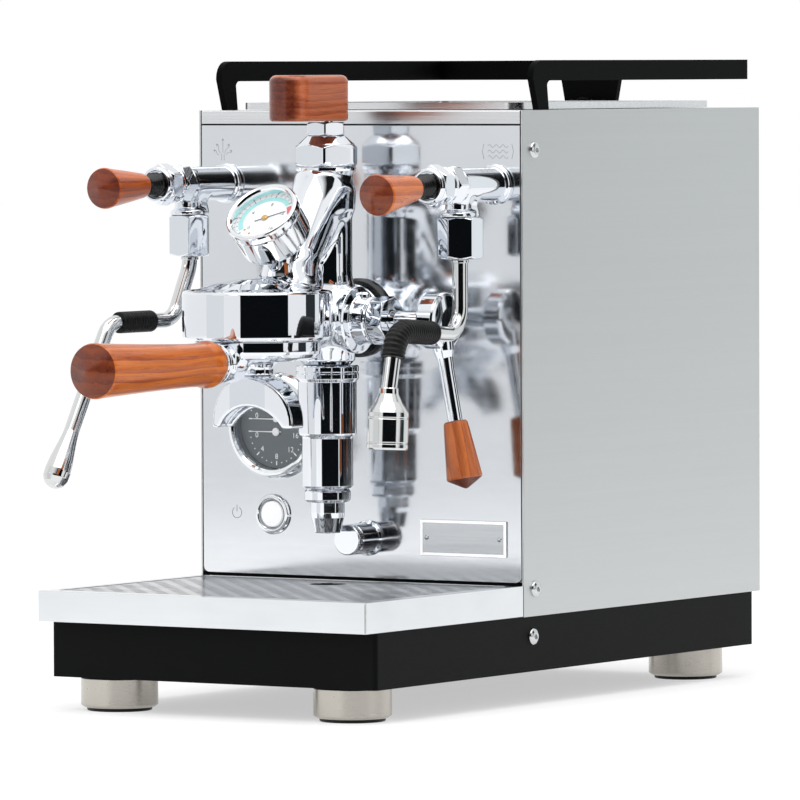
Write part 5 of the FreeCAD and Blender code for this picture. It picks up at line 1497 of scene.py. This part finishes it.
# --------------------------------------------------------------------------
# camera, floor, light
# --------------------------------------------------------------------------
sc = bpy.context.scene
R_, U_, B_ = (0.8432662, 0.5374822, -0.0038695), (-0.0190111, 0.03702, 0.9991337), (0.5371599, -0.8424621, 0.0414358)
EYE = (np.array((2571.41, -4041.59, 374.82)) + OFF) * MM
cam = bpy.data.cameras.new("cam")
cam.lens = 360.0
cam.sensor_width = 36.0
cam.clip_start, cam.clip_end = 0.05, 100.0
cam_ob = bpy.data.objects.new("cam", cam)
sc.collection.objects.link(cam_ob)
cam_ob.matrix_world = Matrix(((R_[0], U_[0], B_[0], EYE[0]), (R_[1], U_[1], B_[1], EYE[1]), (R_[2], U_[2], B_[2], EYE[2]), (0, 0, 0, 1)))
sc.camera = cam_ob
sc.view_settings.view_transform = "Standard"
sc.view_settings.look = "None"


def floor_mat():
    m = bpy.data.materials.new("floor_white")
    m.use_nodes = True
    t = m.node_tree
    t.nodes.clear()
    out = t.nodes.new("ShaderNodeOutputMaterial")
    d = t.nodes.new("ShaderNodeBsdfDiffuse")
    n = t.nodes.new("ShaderNodeTexNoise")
    r = t.nodes.new("ShaderNodeValToRGB")
    n.inputs["Scale"].default_value = 0.6
    r.color_ramp.elements[0].color = (0.50, 0.50, 0.505, 1)
    r.color_ramp.elements[1].color = (0.52, 0.52, 0.52, 1)
    t.links.new(n.outputs["Fac"], r.inputs[0])
    t.links.new(r.outputs["Color"], d.inputs["Color"])
    e = t.nodes.new("ShaderNodeEmission")
    e.inputs["Color"].default_value = (1, 1, 1, 1)
    e.inputs["Strength"].default_value = 0.52
    a = t.nodes.new("ShaderNodeAddShader")
    t.links.new(d.outputs[0], a.inputs[0])
    t.links.new(e.outputs[0], a.inputs[1])
    t.links.new(a.outputs[0], out.inputs["Surface"])
    return m


me = bpy.data.meshes.new("floor")
S = 14.0
me.from_pydata([(-S, -S, 0), (S, -S, 0), (S, S, 0), (-S, S, 0)], [], [(0, 1, 2, 3)])
fl = bpy.data.objects.new("floor", me)
me.materials.append(floor_mat())
sc.collection.objects.link(fl)

w = bpy.data.worlds.new("studio")
sc.world = w
w.use_nodes = True
t = w.node_tree
t.nodes.clear()
out = t.nodes.new("ShaderNodeOutputWorld")


def node(kind, **kw):
    n = t.nodes.new(kind)
    for k, v in kw.items():
        setattr(n, k, v)
    return n


def mth(op, a, b=None, c=None):
    n = node("ShaderNodeMath", operation=op)
    for i, x in enumerate((a, b, c)):
        if x is None:
            continue
        if isinstance(x, (int, float)):
            n.inputs[i].default_value = x
        else:
            t.links.new(x, n.inputs[i])
    return n.outputs[0]


tcw = node("ShaderNodeTexCoord")


def dotv(vec):
    n = node("ShaderNodeVectorMath", operation="DOT_PRODUCT")
    n.inputs[1].default_value = vec
    t.links.new(tcw.outputs["Generated"], n.inputs[0])
    return n.outputs["Value"]


hx = unit((R_[0], R_[1], 0))
hb = unit((B_[0], B_[1], 0))
ax_, ay_, az_ = dotv(tuple(hx)), dotv(tuple(hb)), dotv((0, 0, 1))
azim = mth("ARCTAN2", ax_, ay_)
fac = mth("ADD", mth("MULTIPLY", azim, 0.5 / math.pi), 0.5)
elev = mth("ARCSINE", az_)


def ramp(fac, stops):
    r = node("ShaderNodeValToRGB")
    e = r.color_ramp.elements
    while len(e) < len(stops):
        e.new(0.5)
    for k, (p, c) in enumerate(stops):
        e[k].position = p
        e[k].color = (c, c, c, 1) if isinstance(c, float) else (*c, 1)
    t.links.new(fac, r.inputs[0])
    return r.outputs["Color"]


A = lambda d: (d + 180.0) / 360.0
ENV = [(-180, 0.95), (-120, 1.0), (-92, 0.95), (-78, 0.66), (-54, 0.62), (-46, 0.95), (-32, 1.0), (-27.5, 0.012), (44.5, 0.012), (49, 1.0), (70, 1.0), (76, 0.10), (100, 0.12), (106, 0.52), (126, 0.56), (136, 0.9), (180, 0.95)]
band = ramp(fac, [(A(a), float(v)) for a, v in ENV])
EL = lambda d: (d + 90.0) / 180.0
ef = mth("ADD", mth("MULTIPLY", elev, 1 / math.pi), 0.5)
# how much of the azimuth pattern is seen at each height
vis = ramp(ef, [(0.0, 0.0), (EL(-34), 0.0), (EL(-26), 1.0), (EL(30), 1.0), (EL(38), 0.0), (1.0, 0.0)])
over = ramp(ef, [(0.0, 0.9), (EL(20), 0.9), (EL(50), 1.0), (1.0, 1.0)])
mx = node("ShaderNodeMix", data_type="RGBA")
t.links.new(vis, mx.inputs[0])
t.links.new(over, mx.inputs[6])
t.links.new(band, mx.inputs[7])
bg = node("ShaderNodeBackground")
bg.inputs["Strength"].default_value = 1.08
t.links.new(mx.outputs[2], bg.inputs["Color"])
bgc = node("ShaderNodeBackground")
bgc.inputs["Color"].default_value = (1, 1, 1, 1)
bgc.inputs["Strength"].default_value = 1.0
lp = node("ShaderNodeLightPath")
bgd = node("ShaderNodeBackground")
bgd.inputs["Color"].default_value = (1, 1, 1, 1)
bgd.inputs["Strength"].default_value = 0.95
md = node("ShaderNodeMixShader")
t.links.new(lp.outputs["Is Diffuse Ray"], md.inputs[0])
t.links.new(bg.outputs[0], md.inputs[1])
t.links.new(bgd.outputs[0], md.inputs[2])
ms = node("ShaderNodeMixShader")
t.links.new(lp.outputs["Is Camera Ray"], ms.inputs[0])
t.links.new(md.outputs[0], ms.inputs[1])
t.links.new(bgc.outputs[0], ms.inputs[2])
t.links.new(ms.outputs[0], out.inputs["Surface"])


def area(name, loc, target, size, power, sy=None, spec=1.0):
    L = bpy.data.lights.new(name, "AREA")
    L.energy = power
    L.size = size
    if sy:
        L.shape = "RECTANGLE"
        L.size_y = sy
    L.specular_factor = spec
    o = bpy.data.objects.new(name, L)
    sc.collection.objects.link(o)
    o.location = loc
    o.rotation_mode = "QUATERNION"
    o.rotation_quaternion = (Vector(target) - Vector(loc)).to_track_quat("-Z", "Y")
    o.visible_camera = False
    return o


def card(name, a0, a1, z1, r, tone):
    """Upright studio card, seen only in reflections."""
    m = bpy.data.materials.new(name)
    m.use_nodes = True
    q = m.node_tree
    q.nodes.clear()
    o = q.nodes.new("ShaderNodeOutputMaterial")
    e = q.nodes.new("ShaderNodeEmission")
    e.inputs["Color"].default_value = (*tone, 1)
    e.inputs["Strength"].default_value = 1.0
    q.links.new(e.outputs[0], o.inputs["Surface"])
    n = 16
    vs, fs = [], []
    for k in range(n + 1):
        an = math.radians(a0 + (a1 - a0) * k / n)
        d = hb * math.cos(an) + hx * math.sin(an)
        for z in (0.001, z1):
            vs.append((OFF[0] * MM + d[0] * r, OFF[1] * MM - 0.05 + d[1] * r, z))
    for k in range(n):
        fs.append((2 * k, 2 * k + 2, 2 * k + 3, 2 * k + 1))
    me = bpy.data.meshes.new(name)
    me.from_pydata(vs, [], fs)
    me.materials.append(m)
    ob = bpy.data.objects.new(name, me)
    sc.collection.objects.link(ob)
    ob.visible_camera = False
    ob.visible_diffuse = False
    ob.visible_shadow = False


card("card_front", -25.5, 44.5, 1.0, 1.8, (0.004, 0.005, 0.006))
card("card_low_a", 44.5, 50.0, 0.15, 1.8, (0.006, 0.007, 0.008))
card("card_low_b", 54.0, 76.0, 0.15, 1.8, (0.006, 0.007, 0.008))
card("card_left", -80.0, -50.0, 1.0, 1.85, (0.87, 0.885, 0.895))
card("card_right_dark", 76.0, 96.0, 1.0, 1.85, (0.03, 0.035, 0.04))
card("card_right_grey", 96.0, 134.0, 1.2, 1.8, (0.93, 0.965, 0.97))

area("overhead", (0.3, -0.5, 2.3), (0, 0, 0.2), 2.6, 34.0)
area("front_fill", (-1.6, -2.6, 1.2), (0, -0.05, 0.2), 1.2, 9.0)

for n_, o_ in NODES.items():
    if not o_.hide_render and not o_.data.materials[0].name in [m.name for m in (M_BRASS, M_BLACKPL, M_COPPER, M_WAND)]:
        print("PLAIN NODE", n_)
